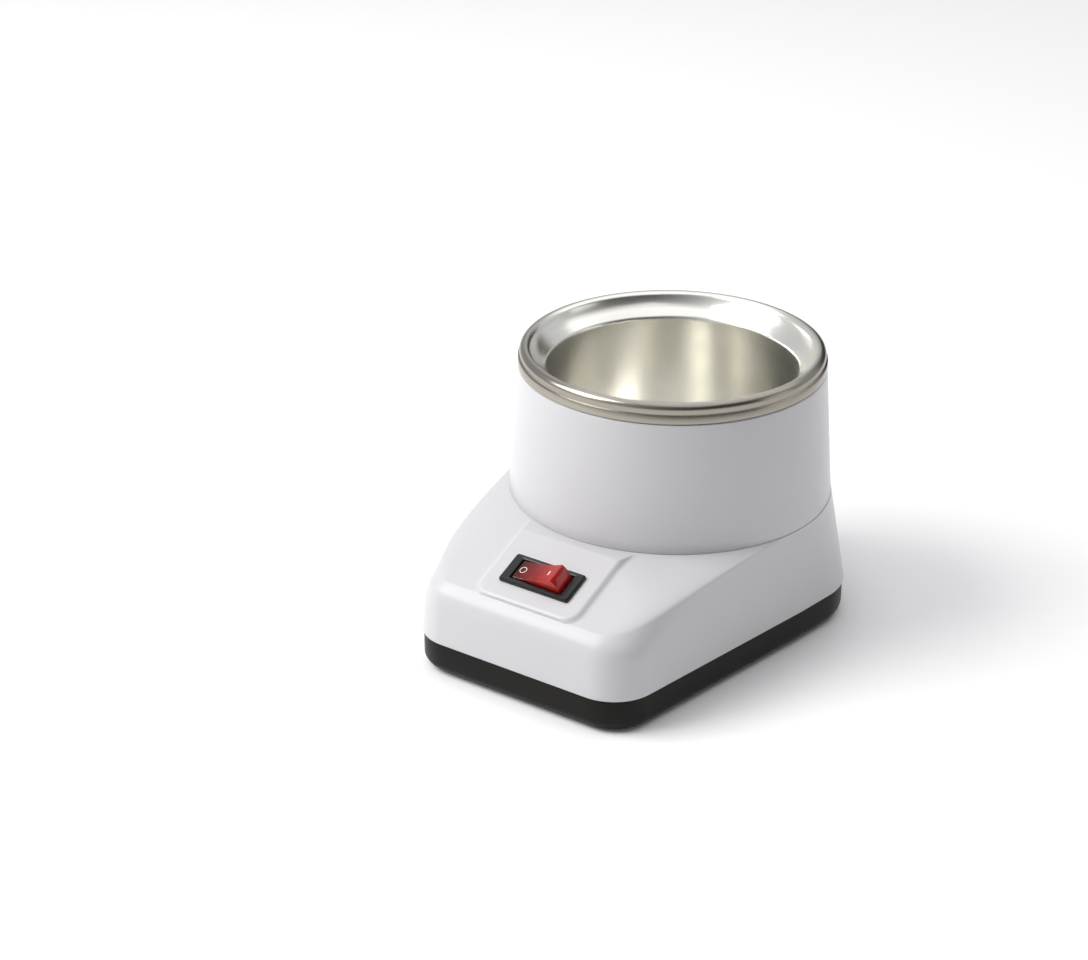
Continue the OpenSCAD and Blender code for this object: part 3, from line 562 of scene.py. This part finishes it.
def plastic(name, colour, shade, worn, rough, grain, gloss=0.5):
    """Moulded plastic: slow tint drift, paler convex edges, fine grain and faint sink marks."""
    mat, nt, shader = material(name, colour, rough[0])
    tint = blend_colours(nt, span(nt, noise(nt, 22, 2), 0, 1), colour, shade)
    wear = maths(nt, "MULTIPLY", pointy(nt, 0.56, 0.75), span(nt, noise(nt, 90, 2), 0.3, 1))
    nt.links.new(blend_colours(nt, wear, tint, worn), shader.inputs["Base Color"])
    nt.links.new(span(nt, noise(nt, 46, 2), *rough), shader.inputs["Roughness"])
    low = bump(nt, shader, noise(nt, 1700, 2), grain, 0.0002)
    bump(nt, shader, noise(nt, 40, 1), 0.02, 0.0006, low)
    shader.inputs["Specular IOR Level"].default_value = gloss
    return mat


def steel(name, inner, outer, rough):
    """Spun steel with fine rings about the pot's axis; the bore's pale colour is partly painted
    light, and the darker bead and skirt are a painted reflection of dark surroundings.
    """
    mat, nt, shader = material(name, inner, rough[0], 1.0)
    split = node(nt, "ShaderNodeSeparateXYZ")
    nt.links.new(node(nt, "ShaderNodeTexCoord").outputs["Object"], split.inputs[0])
    x = split.outputs["X"]
    y = maths(nt, "SUBTRACT", split.outputs["Y"], POT.y)
    squares = maths(nt, "ADD", maths(nt, "MULTIPLY", x, x), maths(nt, "MULTIPLY", y, y))
    radius = maths(nt, "SQRT", squares)
    # noise drawn out along the rings: it hardly changes with the angle
    rings = node(nt, "ShaderNodeCombineXYZ")
    nt.links.new(radius, rings.inputs[0])
    nt.links.new(split.outputs["Z"], rings.inputs[1])
    nt.links.new(maths(nt, "MULTIPLY", maths(nt, "ARCTAN2", y, x), 0.0004), rings.inputs[2])
    fine = noise(nt, 2600, 1, at=rings.outputs[0])
    broad = noise(nt, 420, 1.5, at=rings.outputs[0])
    streaks = span(nt, broad, 0, 1)
    # the bore's pale colour is partly painted light; the bead and skirt's dark colour is a painted
    # reflection of dark surroundings
    inside = blend_colours(nt, streaks, inner, tuple(0.95 * c for c in inner))
    outside = blend_colours(nt, streaks, outer, tuple(0.9 * c for c in outer))
    # from a radius of 56 mm out to 58.5 mm the colour turns to the bead and skirt's painted dark
    # reflection
    edge = span(nt, radius, 0, 1, 0.0560, 0.0585)
    nt.links.new(blend_colours(nt, edge, inside, outside), shader.inputs["Base Color"])
    nt.links.new(span(nt, broad, *rough), shader.inputs["Roughness"])
    low = bump(nt, shader, fine, 0.02, 0.0001)
    bump(nt, shader, noise(nt, 35, 2), 0.03, 0.0015, low)
    tangent = node(nt, "ShaderNodeTangent", direction_type="RADIAL", axis="Z")
    nt.links.new(tangent.outputs[0], shader.inputs["Tangent"])
    shader.inputs["Anisotropic"].default_value = 0.6
    shader.inputs["Anisotropic Rotation"].default_value = 0.25
    return mat


def metal(name, colour, dark, rough=(0.28, 0.42), scale=90.0):
    """Plated or rolled metal: blotchy tone and gloss, with a fine tooth."""
    mat, nt, shader = material(name, colour, rough[0], 1.0)
    tone = blend_colours(nt, span(nt, noise(nt, scale, 5, 0.6), 0, 1), colour, dark)
    nt.links.new(tone, shader.inputs["Base Color"])
    nt.links.new(span(nt, noise(nt, scale * 3, 3), *rough), shader.inputs["Roughness"])
    bump(nt, shader, noise(nt, 1500, 2), 0.06, 0.0001)
    return mat


def woven(name, colour, dark, scale):
    """Woven fibre: level bands broken up by noise."""
    mat, nt, shader = material(name, colour, 0.85)
    wave = node(nt, "ShaderNodeTexWave", wave_type="BANDS", bands_direction="Z",
                Scale=scale, Distortion=2.0)
    nt.links.new(node(nt, "ShaderNodeTexCoord").outputs["Object"], wave.inputs["Vector"])
    weave = maths(nt, "MULTIPLY", wave.outputs["Fac"], noise(nt, 1200, 2))
    tone = blend_colours(nt, span(nt, weave, 0, 1, 0.1, 0.6), dark, colour)
    nt.links.new(tone, shader.inputs["Base Color"])
    bump(nt, shader, weave, 0.4, 0.0003)
    return mat


# plastics: colour, drift, worn edges, roughness from and to, grain, gloss
WHITE = plastic("white_plastic", (0.592, 0.585, 0.603), (0.579, 0.572, 0.590),
                (0.645, 0.645, 0.655), (0.28, 0.33), 0.035, 0.36)
BLACK = plastic("black_plastic", (0.006, 0.0055, 0.005), (0.009, 0.008, 0.007),
                (0.03, 0.028, 0.026), (0.36, 0.48), 0.12, 0.18)
BEZEL = plastic("bezel_plastic", (0.008, 0.009, 0.009), (0.013, 0.014, 0.014), (0.07, 0.07, 0.07),
                (0.26, 0.36), 0.06, 0.36)
RUBBER = plastic("rubber", (0.02, 0.02, 0.02), (0.03, 0.03, 0.03), (0.06, 0.06, 0.06),
                 (0.6, 0.78), 0.2)
PHENOLIC = plastic("phenolic", (0.04, 0.03, 0.025), (0.06, 0.045, 0.035), (0.1, 0.08, 0.06),
                   (0.4, 0.55), 0.1)
CREAM = plastic("block_plastic", (0.72, 0.70, 0.62), (0.66, 0.63, 0.55), (0.8, 0.78, 0.7),
                (0.4, 0.5), 0.06)
NYLON = plastic("nylon", (0.75, 0.75, 0.70), (0.7, 0.7, 0.64), (0.8, 0.8, 0.78),
                (0.35, 0.5), 0.06)
BROWN = plastic("brown_insulation", (0.13, 0.05, 0.02), (0.10, 0.04, 0.015), (0.2, 0.1, 0.05),
                (0.35, 0.5), 0.05)
BLUE = plastic("blue_insulation", (0.02, 0.06, 0.30), (0.015, 0.05, 0.24), (0.1, 0.15, 0.4),
               (0.35, 0.5), 0.05)
GREEN = plastic("green_insulation", (0.08, 0.28, 0.03), (0.45, 0.42, 0.03), (0.2, 0.4, 0.1),
                (0.35, 0.5), 0.05)
INK = plastic("printed_white", (0.86, 0.82, 0.78), (0.80, 0.76, 0.72), (0.9, 0.88, 0.85),
              (0.4, 0.5), 0.05)
# metals: colour, darker tone, roughness from and to
# for the steel: bore colour, partly painted light, then the bead and skirt's painted dark
# reflection, then roughness from and to
STEEL = steel("spun_steel", (0.95, 0.936, 0.884), (0.35, 0.325, 0.28), (0.22, 0.27))
ZINC = metal("zinc_plate", (0.55, 0.56, 0.56), (0.42, 0.43, 0.45))
ALU = metal("mill_aluminium", (0.75, 0.75, 0.76), (0.62, 0.62, 0.63), (0.3, 0.42))
MICA = metal("heater_band", (0.48, 0.44, 0.37), (0.36, 0.32, 0.26), (0.35, 0.5))
BRASS = metal("brass", (0.70, 0.50, 0.22), (0.55, 0.38, 0.16))
SPRING = metal("spring_wire", (0.55, 0.55, 0.53), (0.4, 0.4, 0.4))
GLASS_FIBRE = woven("glass_fibre", (0.80, 0.77, 0.68), (0.55, 0.51, 0.42), 500)
BRAID = woven("braided_sleeve", (0.78, 0.74, 0.64), (0.5, 0.46, 0.36), 1400)


def red_lens():
    """Translucent red moulding, painted dark toward its O end as painted shade where that end sinks
    below the bezel.
    """
    mat, nt, shader = material("rocker_red", (0.6, 0.008, 0.004), 0.12)
    for key, value in (("Transmission Weight", 0.6), ("IOR", 1.49), ("Subsurface Weight", 0.15),
                       ("Subsurface Scale", 1.0), ("Subsurface Radius", (0.003, 0.0002, 0.0001)),
                       ("Coat Weight", 0.3), ("Coat Roughness", 0.1)):
        shader.inputs[key].default_value = value
    tint = blend_colours(nt, span(nt, noise(nt, 260, 3), 0, 1),
                         (0.86, 0.020, 0.006), (0.62, 0.006, 0.002))
    # painted shade: the red turns dark toward the O end, which sits below the bezel's surface
    reach = node(nt, "ShaderNodeSeparateXYZ")
    nt.links.new(node(nt, "ShaderNodeTexCoord").outputs["Object"], reach.inputs[0])
    painted_shade_fade = span(nt, reach.outputs["X"], 0, 1, -0.0115, 0.003)
    tint = blend_colours(nt, painted_shade_fade, (0.055, 0.001, 0.0008), tint)
    nt.links.new(tint, shader.inputs["Base Color"])
    nt.links.new(span(nt, noise(nt, 500, 3), 0.08, 0.2), shader.inputs["Roughness"])
    bump(nt, shader, noise(nt, 900, 2), 0.04, 0.0002)
    return mat


def lamp_glass():
    mat, nt, shader = material("lamp_glass", (1.0, 0.6, 0.4), 0.05)
    shader.inputs["Transmission Weight"].default_value = 0.9
    nt.links.new(span(nt, noise(nt, 700, 2), 0.03, 0.1), shader.inputs["Roughness"])
    tint = blend_colours(nt, span(nt, noise(nt, 400, 2), 0, 1), (1, 0.62, 0.42), (1, 0.5, 0.3))
    nt.links.new(tint, shader.inputs["Base Color"])
    return mat


RED = red_lens()
LAMP = lamp_glass()


def dress(obj, mat, body, stands_for):
    """Gives a piece its material, parents it to its body, and hides the CAD nodes it replaces."""
    obj.data.materials.clear()
    obj.data.materials.append(mat)
    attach(obj, body)
    if stands_for:
        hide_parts(*stands_for)


# ---------------------------------------------------------------- the shells
dress(build_housing(), WHITE, "base", ["lower_housing"])


def build_collar():
    top, base, foot_r = COLLAR_TOP, PARTING + 0.05, collar_hi.x / MM
    h = top - base
    lean = (foot_r - COLLAR_TOP_R) / h
    # up the outside, over the round top edge
    p = [(foot_r - 0.5, base), (foot_r - 0.15, base + 0.06), (foot_r, base + 0.35)]
    for i in range(1, 12):
        z = base + 0.35 + (h - 1.2) * i / 12
        p.append((foot_r - lean * (z - base), z))
    p += arc(COLLAR_TOP_R - 0.7, top - 0.75, 0.72, 0, 90, 5)
    # the rib inside the liner's skirt, the seat, and back down the inside
    rib_r, rib_t, rib_h, seat_r, wall = 58.8, 1.6, 2.4, 52.5, 2.5
    p += [(rib_r, top), (rib_r, top + rib_h), (rib_r - rib_t, top + rib_h), (rib_r - rib_t, top),
          (seat_r, top), (seat_r, top - wall), (COLLAR_TOP_R - 3.2, top - wall),
          (foot_r - wall, base)]
    return lathe("collar_shell", p, 256)


dress(build_collar(), WHITE, "base", ["collar"])


def build_liner():
    bead, t, roll, skirt = 2.4, 0.8, 2.6, 60.6
    bx, bz = RIM_R - bead, RIM_Z - bead
    low = COLLAR_TOP + 0.1
    floor = RIM_Z - WELL_DEEP
    wall_top = RIM_Z - 8.6
    # skirt, a small step, and the rolled bead
    p = [(skirt - 0.25, low), (skirt, low + 0.25), (skirt, bz - 2.1), (skirt - 0.12, bz - 1.85),
         (RIM_R - 0.08, bz - 1.6)]
    p += arc(bx, bz, bead, -20, 158, 26)
    # dish: a hollow under the bead, then a slope that turns into the wall
    a, b = (bx - bead, bz), (WELL_R + 1.6, wall_top + 1.6)
    slope = [(a[0] + (b[0] - a[0]) * k, a[1] + (b[1] - a[1]) * k - 0.35 * math.sin(math.pi * k))
             for k in (0.3, 0.45, 0.6, 0.72, 0.84)]
    p += bend(p[-1], (a[0] - 0.33, a[1] - 0.36), slope[0], 6) + slope[1:]
    roll_z = wall_top - 1.2
    p += arc(WELL_R + roll, roll_z, roll, 128, 180, 8)
    # wall, round corner and floor
    corner = 6
    for i in range(1, 14):
        p.append((WELL_R, roll_z + (floor + corner - wall_top + 1.2) * i / 14))
    p += arc(WELL_R - corner, floor + corner, corner, 0, -90, 12)
    for i in range(1, 12):
        p.append(((WELL_R - corner) * (1 - i / 12),
                  floor + 0.25 * (i / 12) ** 2 * (1 if i % 3 else 0.8)))
    # the sheet's other face, back out to the skirt
    p += [(0, floor + 0.25), (0, floor - t)]
    p += arc(WELL_R - corner, floor + corner, corner + t, -90, 0, 8)
    p += [(WELL_R + t, roll_z), (WELL_R + t + 1, wall_top + 0.1), (bx - bead + t, bz - 1.0)]
    p += arc(bx, bz, bead - t, 180, 0, 16)
    p += [(RIM_R - t - 0.1, bz - 1.9), (skirt - t, bz - 2.3), (skirt - t, low)]
    return lathe("well_shell", p, 256)


dress(build_liner(), STEEL, "base", ["well_liner"])


def build_tray():
    inset, edge_r, tongue, tongue_t, tongue_h = 0.6, 4.2, 3.9, 1.4, 1.5

    def ring(cut, z):
        return full_loop(spaced(plan_section(cut)), z)

    # how far the rounded edge stands above the tray's underside, and how far it is drawn in there
    curve = [(edge_r * (1 - math.sin(math.radians(t))), edge_r * (1 - math.cos(math.radians(t))))
             for t in range(90, -1, -9)]
    outer = [ring(inset + d, TRAY_Z + h) for h, d in curve]
    outer += [ring(inset, TRAY_TOP - 0.3), ring(inset + 0.08, TRAY_TOP - 0.08),
              ring(inset + 0.3, TRAY_TOP)]
    # the tongue inside the housing's wall, then down to the floor
    inner = [ring(tongue, TRAY_TOP), ring(tongue, TRAY_TOP + tongue_h),
             ring(tongue + tongue_t, TRAY_TOP + tongue_h), ring(tongue + tongue_t, TRAY_Z + 6),
             ring(8.1, TRAY_Z + TRAY_FLOOR)]
    tray = loops_mesh("tray_shell", outer + inner)
    head_r, head_deep, foot_hole_r = 3.3, 3.4, 2.6
    holes = [rod("bore", head_r, -2, TRAY_Z + head_deep, over(x, y), 32) for x, y in TRAY_SCREWS]
    holes += [rod("bore", foot_hole_r, -2, 9, over(x, y), 24) for x, y in FEET]
    combine(tray, holes, "DIFFERENCE")
    # posts that the tray screws pass up through, set over their counterbores
    in_r, shank_r, out_r, foot_z, top_z = 1.8, 4.2, 4.6, TRAY_Z + 1.5, 16
    post = [(in_r, TRAY_Z + head_deep), (shank_r, TRAY_Z + head_deep), (shank_r, foot_z),
            (out_r, foot_z), (out_r, top_z), (in_r, top_z)]
    combine(tray, [lathe("post", post, 32, over(x, y)) for x, y in TRAY_SCREWS], "UNION")
    return tray


dress(build_tray(), BLACK, "base", ["base_tray"])


def build_feet():
    """Four push-in feet: dimpled pad under the tray, neck through it, barb above its floor."""
    verts, faces = [], []
    steps = 40
    top = TRAY_Z + TRAY_FLOOR
    profile = [(0.0, 0.7), (1.6, 0.7), (1.8, 0.55), (1.8, 0.1), (1.95, 0.0), (6.35, 0.0),
               (6.7, 0.08), (6.92, 0.3), (7.0, 0.55), (7.0, TRAY_Z - 0.12),
               (6.95, TRAY_Z - 0.06), (2.5, TRAY_Z - 0.06), (2.5, top + 0.1), (3.2, top + 0.12),
               (2.0, top + 1.7), (0.0, top + 1.7)]
    for x, y in FEET:
        rows = []
        for r, z in profile:
            if r == 0:
                rows.append([len(verts)] * steps)
                verts.append((x, y, z))
            else:
                rows.append(list(range(len(verts), len(verts) + steps)))
                for i in range(steps):
                    a = 2 * math.pi * i / steps
                    verts.append((x + r * math.cos(a), y + r * math.sin(a), z))
        for a, b in zip(rows, rows[1:]):
            for i in range(steps):
                k = (i + 1) % steps
                quad = [a[i], a[k], b[k], b[i]]
                faces.append(tuple(dict.fromkeys(quad)))
    return mesh_object("foot_pads", verts, faces)


dress(build_feet(), RUBBER, "base", ["rubber_feet"])


# ---------------------------------------------------------------- cord bushing, at the rear
def build_bushing():
    """Sleeve with a round-edged flange that sits on the boss."""
    z0, in_r, flange_r, inner_end = 0.05, 3.4, 8.0, -16
    p = [(5.4, inner_end), (5.4, z0), (7.7, z0), (flange_r, z0 + 0.25), (flange_r, z0 + 1.5),
         (7.8, z0 + 1.9), (7.3, z0 + 2.33), (6.6, z0 + 2.43), (4.4, z0 + 2.43), (3.8, z0 + 2.2),
         (in_r, z0 + 1.5), (in_r, inner_end)]
    return lathe("bushing_sleeve", p, 96, on_cord_axis(BOSS_FACE_Y))


dress(build_bushing(), BLACK, "base", ["cord_bushing"])


# ---------------------------------------------------------------- rocker switch
def rounded(l, w, r, z, n=6):
    """A rounded rectangle at a height, with n steps to each corner."""
    out = []
    for cx, cy, a0 in ((l / 2 - r, -w / 2 + r, -90), (l / 2 - r, w / 2 - r, 0),
                       (-l / 2 + r, w / 2 - r, 90), (-l / 2 + r, -w / 2 + r, 180)):
        for i in range(n + 1):
            a = math.radians(a0 + 90 * i / n)
            out.append((cx + r * math.cos(a), cy + r * math.sin(a), z))
    return out


def build_switch():
    # length, width, corner and height: up the box, over the bezel, down into the rocker's well
    rows = ((28.0, 11.6, 0.4, -15), (28.4, 12, 0.5, -14.7), (28.4, 12, 0.5, 0.05),
            (31.7, 13.7, 0.9, 0.05), (32, 14, 1.0, 0.2), (32, 14, 1.0, 1.05),
            (31.86, 13.86, 0.95, 1.3), (31.3, 13.3, 0.8, 1.62), (30.9, 12.9, 0.75, 1.78),
            (30.5, 12.5, 0.7, 1.8),
            (24.9, 10.7, 0.5, 1.72), (24.2, 10.1, 0.4, 1.6), (23.8, 9.75, 0.35, 1.2),
            (23.6, 9.6, 0.3, 0.6), (23.6, 9.6, 0.3, -13.4))
    body = loops_mesh("switch_case", [rounded(*row) for row in rows], SWITCH)
    drop = Matrix.Translation((0, 0, -PIVOT_DROP * MM))
    pin_r, pin_reach, blade_t, blade_w = 1.25, 5.7, 0.9, 5
    cutters = [rod("bore", pin_r, -pin_reach, pin_reach,
                   SWITCH @ drop @ Matrix.Rotation(math.pi / 2, 4, "X"), 32)]
    for x in (-7.4, 0, 7.4):
        slot = [rounded(blade_t, blade_w, 0.05, z, 1) for z in (-20, -10)]
        cutters.append(loops_mesh("slot", slot, SWITCH @ Matrix.Translation((x * MM, 0, 0))))
    combine(body, cutters, "DIFFERENCE", 25)
    return body


dress(build_switch(), BEZEL, "base", ["switch_body"])

# the rocker in its own frame: radius of its ends, radius and height of the dished top, skirt,
# half width
END_R, DISH_R, WAIST, SKIRT, HALF_W = 11.4, 48.0, 4.3, 3.0, 4.5
MARK_LIFT, MARK_SINK = 0.035, 0.03


def dish(x):
    """Height of the rocker's dished top."""
    return WAIST + DISH_R - math.sqrt(DISH_R ** 2 - x * x)


def rocker_profile():
    """Section of the rocker: skirt, ends and dished top."""
    x = END_R
    while x * x + dish(x) ** 2 > END_R ** 2:
        x -= 0.01
    a_top = math.degrees(math.atan2(dish(x), x))
    a_low = -math.degrees(math.asin(SKIRT / END_R))
    right = arc(0, 0, END_R, a_low, a_top, 8)
    top = [(x * (1 - 2 * i / 20), dish(x * (1 - 2 * i / 20))) for i in range(1, 20)]
    left = [(-px, pz) for px, pz in right[::-1]]
    return right + top + left


def prism(name, profile, half_w):
    """The rocker's width of a section in its frame."""
    n = len(profile)
    verts = [(x, y, z) for y in (-half_w, half_w) for x, z in profile]
    faces = [tuple(range(n)), tuple(range(2 * n - 1, n - 1, -1))]
    for i in range(n):
        k = (i + 1) % n
        faces.append((i, k, n + k, n + i))
    return mesh_object(name, verts, faces, ROCKER_AT_REST)


def build_rocker():
    body = prism("rocker_lens", rocker_profile(), HALF_W)
    mod = body.modifiers.new("edge", "BEVEL")
    mod.width = 0.28 * MM
    mod.segments = 3
    mod.limit_method = "ANGLE"
    mod.angle_limit = math.radians(30)
    apply_modifiers(body)
    tidy_normals(body)
    # a hollow either side of the middle, the plunger's bore, and the trunnions
    hollow_half_w = 3.2
    hollow = ((2.4, -4), (9.9, -4), (9.9, -1.2), (9.4, 1.6), (8.2, 2.75), (5.2, 2.35),
              (3.4, 2.2), (2.4, 1.9))
    hollows = [prism("hollow", [(side * x, z) for x, z in hollow], hollow_half_w)
               for side in (-1, 1)]
    hollows.append(rod("hollow", 1.5, -8, 0.9, ROCKER_AT_REST, 24))
    combine(body, hollows, "DIFFERENCE")
    pins = []
    for side in (-1, 1):
        turn = Matrix.Rotation(math.radians(-90 * side), 4, "X")
        pins.append(rod("pin", 1.2, 4.3, 5.85, ROCKER_AT_REST @ turn, 32))
    combine(body, pins, "UNION")
    return body


dress(build_rocker(), RED, "rocker", ["rocker"])


def build_ring(cx=-7.5, r_out=1.52, r_in=1.27, n=40):
    """The O, a thin ring lying on the rocker's top."""
    verts = []
    for i in range(n):
        a = 2 * math.pi * i / n
        for r in (r_out, r_in):
            x, y = cx + r * math.cos(a), r * math.sin(a)
            verts += [(x, y, dish(x) + MARK_LIFT), (x, y, dish(x) - MARK_SINK)]
    faces = []
    for i in range(n):
        a, b = 4 * i, 4 * ((i + 1) % n)
        faces.append((a, b, b + 2, a + 2))
        faces.append((a + 1, a + 3, b + 3, b + 1))
        faces.append((a, a + 1, b + 1, b))
        faces.append((a + 2, b + 2, b + 3, a + 3))
    return mesh_object("mark_off", verts, faces, ROCKER_AT_REST)


def build_bar(cx=6.0, hx=0.28, hy=1.0):
    """The I, a thin bar lying on the rocker's top."""
    verts = []
    for lift in (MARK_LIFT, -MARK_SINK):
        for x, y in ((cx - hx, -hy), (cx + hx, -hy), (cx + hx, hy), (cx - hx, hy)):
            verts.append((x, y, dish(x) + lift))
    faces = [(0, 1, 2, 3), (7, 6, 5, 4), (0, 4, 5, 1), (1, 5, 6, 2), (2, 6, 7, 3), (3, 7, 4, 0)]
    return mesh_object("mark_on", verts, faces, ROCKER_AT_REST)


dress(build_ring(), INK, "rocker", ())
dress(build_bar(), INK, "rocker", ())

# ---------------------------------------------------------------- carried-over CAD nodes
finish_of = {
    ZINC: ["centre_stud", "stud_nut", "stud_washer", "support_strap", "strap_screws",
           "band_clamp_screw", "thermostat_bracket", "bracket_nut", "fuse_clip",
           "collar_screws", "tray_screws"],
    ALU: ["heat_shield"], MICA: ["heater_band"], GLASS_FIBRE: ["insulation_sleeve"],
    PHENOLIC: ["thermostat"], CREAM: ["terminal_block", "thermal_fuse"], BLACK: ["bushing_nut"],
    BRASS: ["terminal_screws", "contact_lever", "switch_terminals"], NYLON: ["rocker_plunger"],
    SPRING: ["plunger_spring"], LAMP: ["neon_lamp"], BROWN: ["wire_live", "wire_switched"],
    BLUE: ["wire_neutral"], GREEN: ["wire_earth"], BRAID: ["heater_lead_left", "heater_lead_right"]}
for mat, names in finish_of.items():
    for name in names:
        obj = frame["nodes"][name]
        if not obj.data.materials:
            obj.data.materials.append(mat)
        for i in range(len(obj.data.materials)):
            obj.data.materials[i] = mat

# ---------------------------------------------------------------- stage, light and camera
floor_mesh = bpy.data.meshes.new("floor")
REACH = 6
corners = [(-REACH, -REACH, 0), (REACH, -REACH, 0), (REACH, REACH, 0), (-REACH, REACH, 0)]
floor_mesh.from_pydata(corners, [], [(0, 1, 2, 3)])
floor = bpy.data.objects.new("floor", floor_mesh)
bpy.context.scene.collection.objects.link(floor)
floor_mat, _, floor_shader = material("pale_floor", (0.98, 0.98, 0.98), 0.6)
floor_shader.inputs["Specular IOR Level"].default_value = 0.1
floor_mesh.materials.append(floor_mat)

# turned and lifted in degrees, away in metres, lens and sensor in millimetres
TURN, LIFT, AWAY, FOCAL, SENSOR = 36.14, 25.36, 1.0152, 86.03, 36.0
# the rim's middle stands right of and above the middle of the view
RIM_RIGHT, RIM_UP = 0.05029, 0.05316
cam_data = bpy.data.cameras.new("camera")
cam_data.lens = FOCAL
cam_data.sensor_width = SENSOR
cam_data.clip_start = 0.05
cam = bpy.data.objects.new("camera", cam_data)
bpy.context.scene.collection.objects.link(cam)
turn, lift = math.radians(TURN), math.radians(LIFT)
right = Vector((math.cos(turn), math.sin(turn), 0))
up = Vector((-math.sin(turn) * math.sin(lift), math.cos(turn) * math.sin(lift), math.cos(lift)))
back = Vector((math.sin(turn) * math.cos(lift), -math.cos(turn) * math.cos(lift), math.sin(lift)))
rim_top = POT + Vector((0, 0, RIM_Z * MM))
cam.location = rim_top - right * RIM_RIGHT - up * RIM_UP + back * AWAY
cam.rotation_euler = Matrix((right, up, back)).transposed().to_euler()
bpy.context.scene.camera = cam


def area_light(name, centre, size, power, colour=(1, 1, 1)):
    """A square light of so many metres and watts, facing the pot."""
    data = bpy.data.lights.new(name, "AREA")
    data.shape = "RECTANGLE"
    data.size = size
    data.size_y = size
    data.energy = power
    data.color = colour
    obj = bpy.data.objects.new(name, data)
    bpy.context.scene.collection.objects.link(obj)
    obj.location = centre
    obj.rotation_euler = (aim - centre).to_track_quat("-Z", "Y").to_euler()


aim = POT + Vector((0, -0.02, 0.05))
area_light("key", aim - right * 1.0 + Vector((0, 0, 0.95)) + back * 0.1, 0.9, 17, (1.0, 0.99, 0.97))
area_light("top", aim + Vector((0.0, 0.4, 1.6)), 2.4, 13)
area_light("side_card", aim + right * 1.3 + back * 0.3 + Vector((0, 0, 0.2)), 0.6, 0.8)

# pale surroundings, darker toward the camera and to its right, with a dark flag on the far right
world = bpy.data.worlds.new("studio")
bpy.context.scene.world = world
world.use_nodes = True
wt = world.node_tree
sky = wt.nodes["Background"]
direction = node(wt, "ShaderNodeTexCoord")


def lobe(toward, outer, inner):
    """1 round a direction and 0 away from it, between two cosines."""
    dot = node(wt, "ShaderNodeVectorMath", operation="DOT_PRODUCT")
    dot.inputs[1].default_value = toward.normalized()
    wt.links.new(direction.outputs["Generated"], dot.inputs[0])
    return span(wt, dot.outputs["Value"], 0, 1, outer, inner)


dim_side = lobe(right * 0.55 + Vector((back.x, back.y, 0.15)), 0.3, 0.9)
flag = lobe(right * 0.43 - Vector((back.x, back.y, -0.08)), 0.90, 0.975)
surroundings = blend_colours(wt, dim_side, (0.96, 0.97, 1.0), (0.10, 0.096, 0.092))
wt.links.new(blend_colours(wt, flag, surroundings, (0.04, 0.035, 0.03)), sky.inputs["Color"])
sky.inputs["Strength"].default_value = 0.58
bpy.context.scene.view_settings.view_transform = "Standard"
bpy.context.scene.view_settings.look = "None"
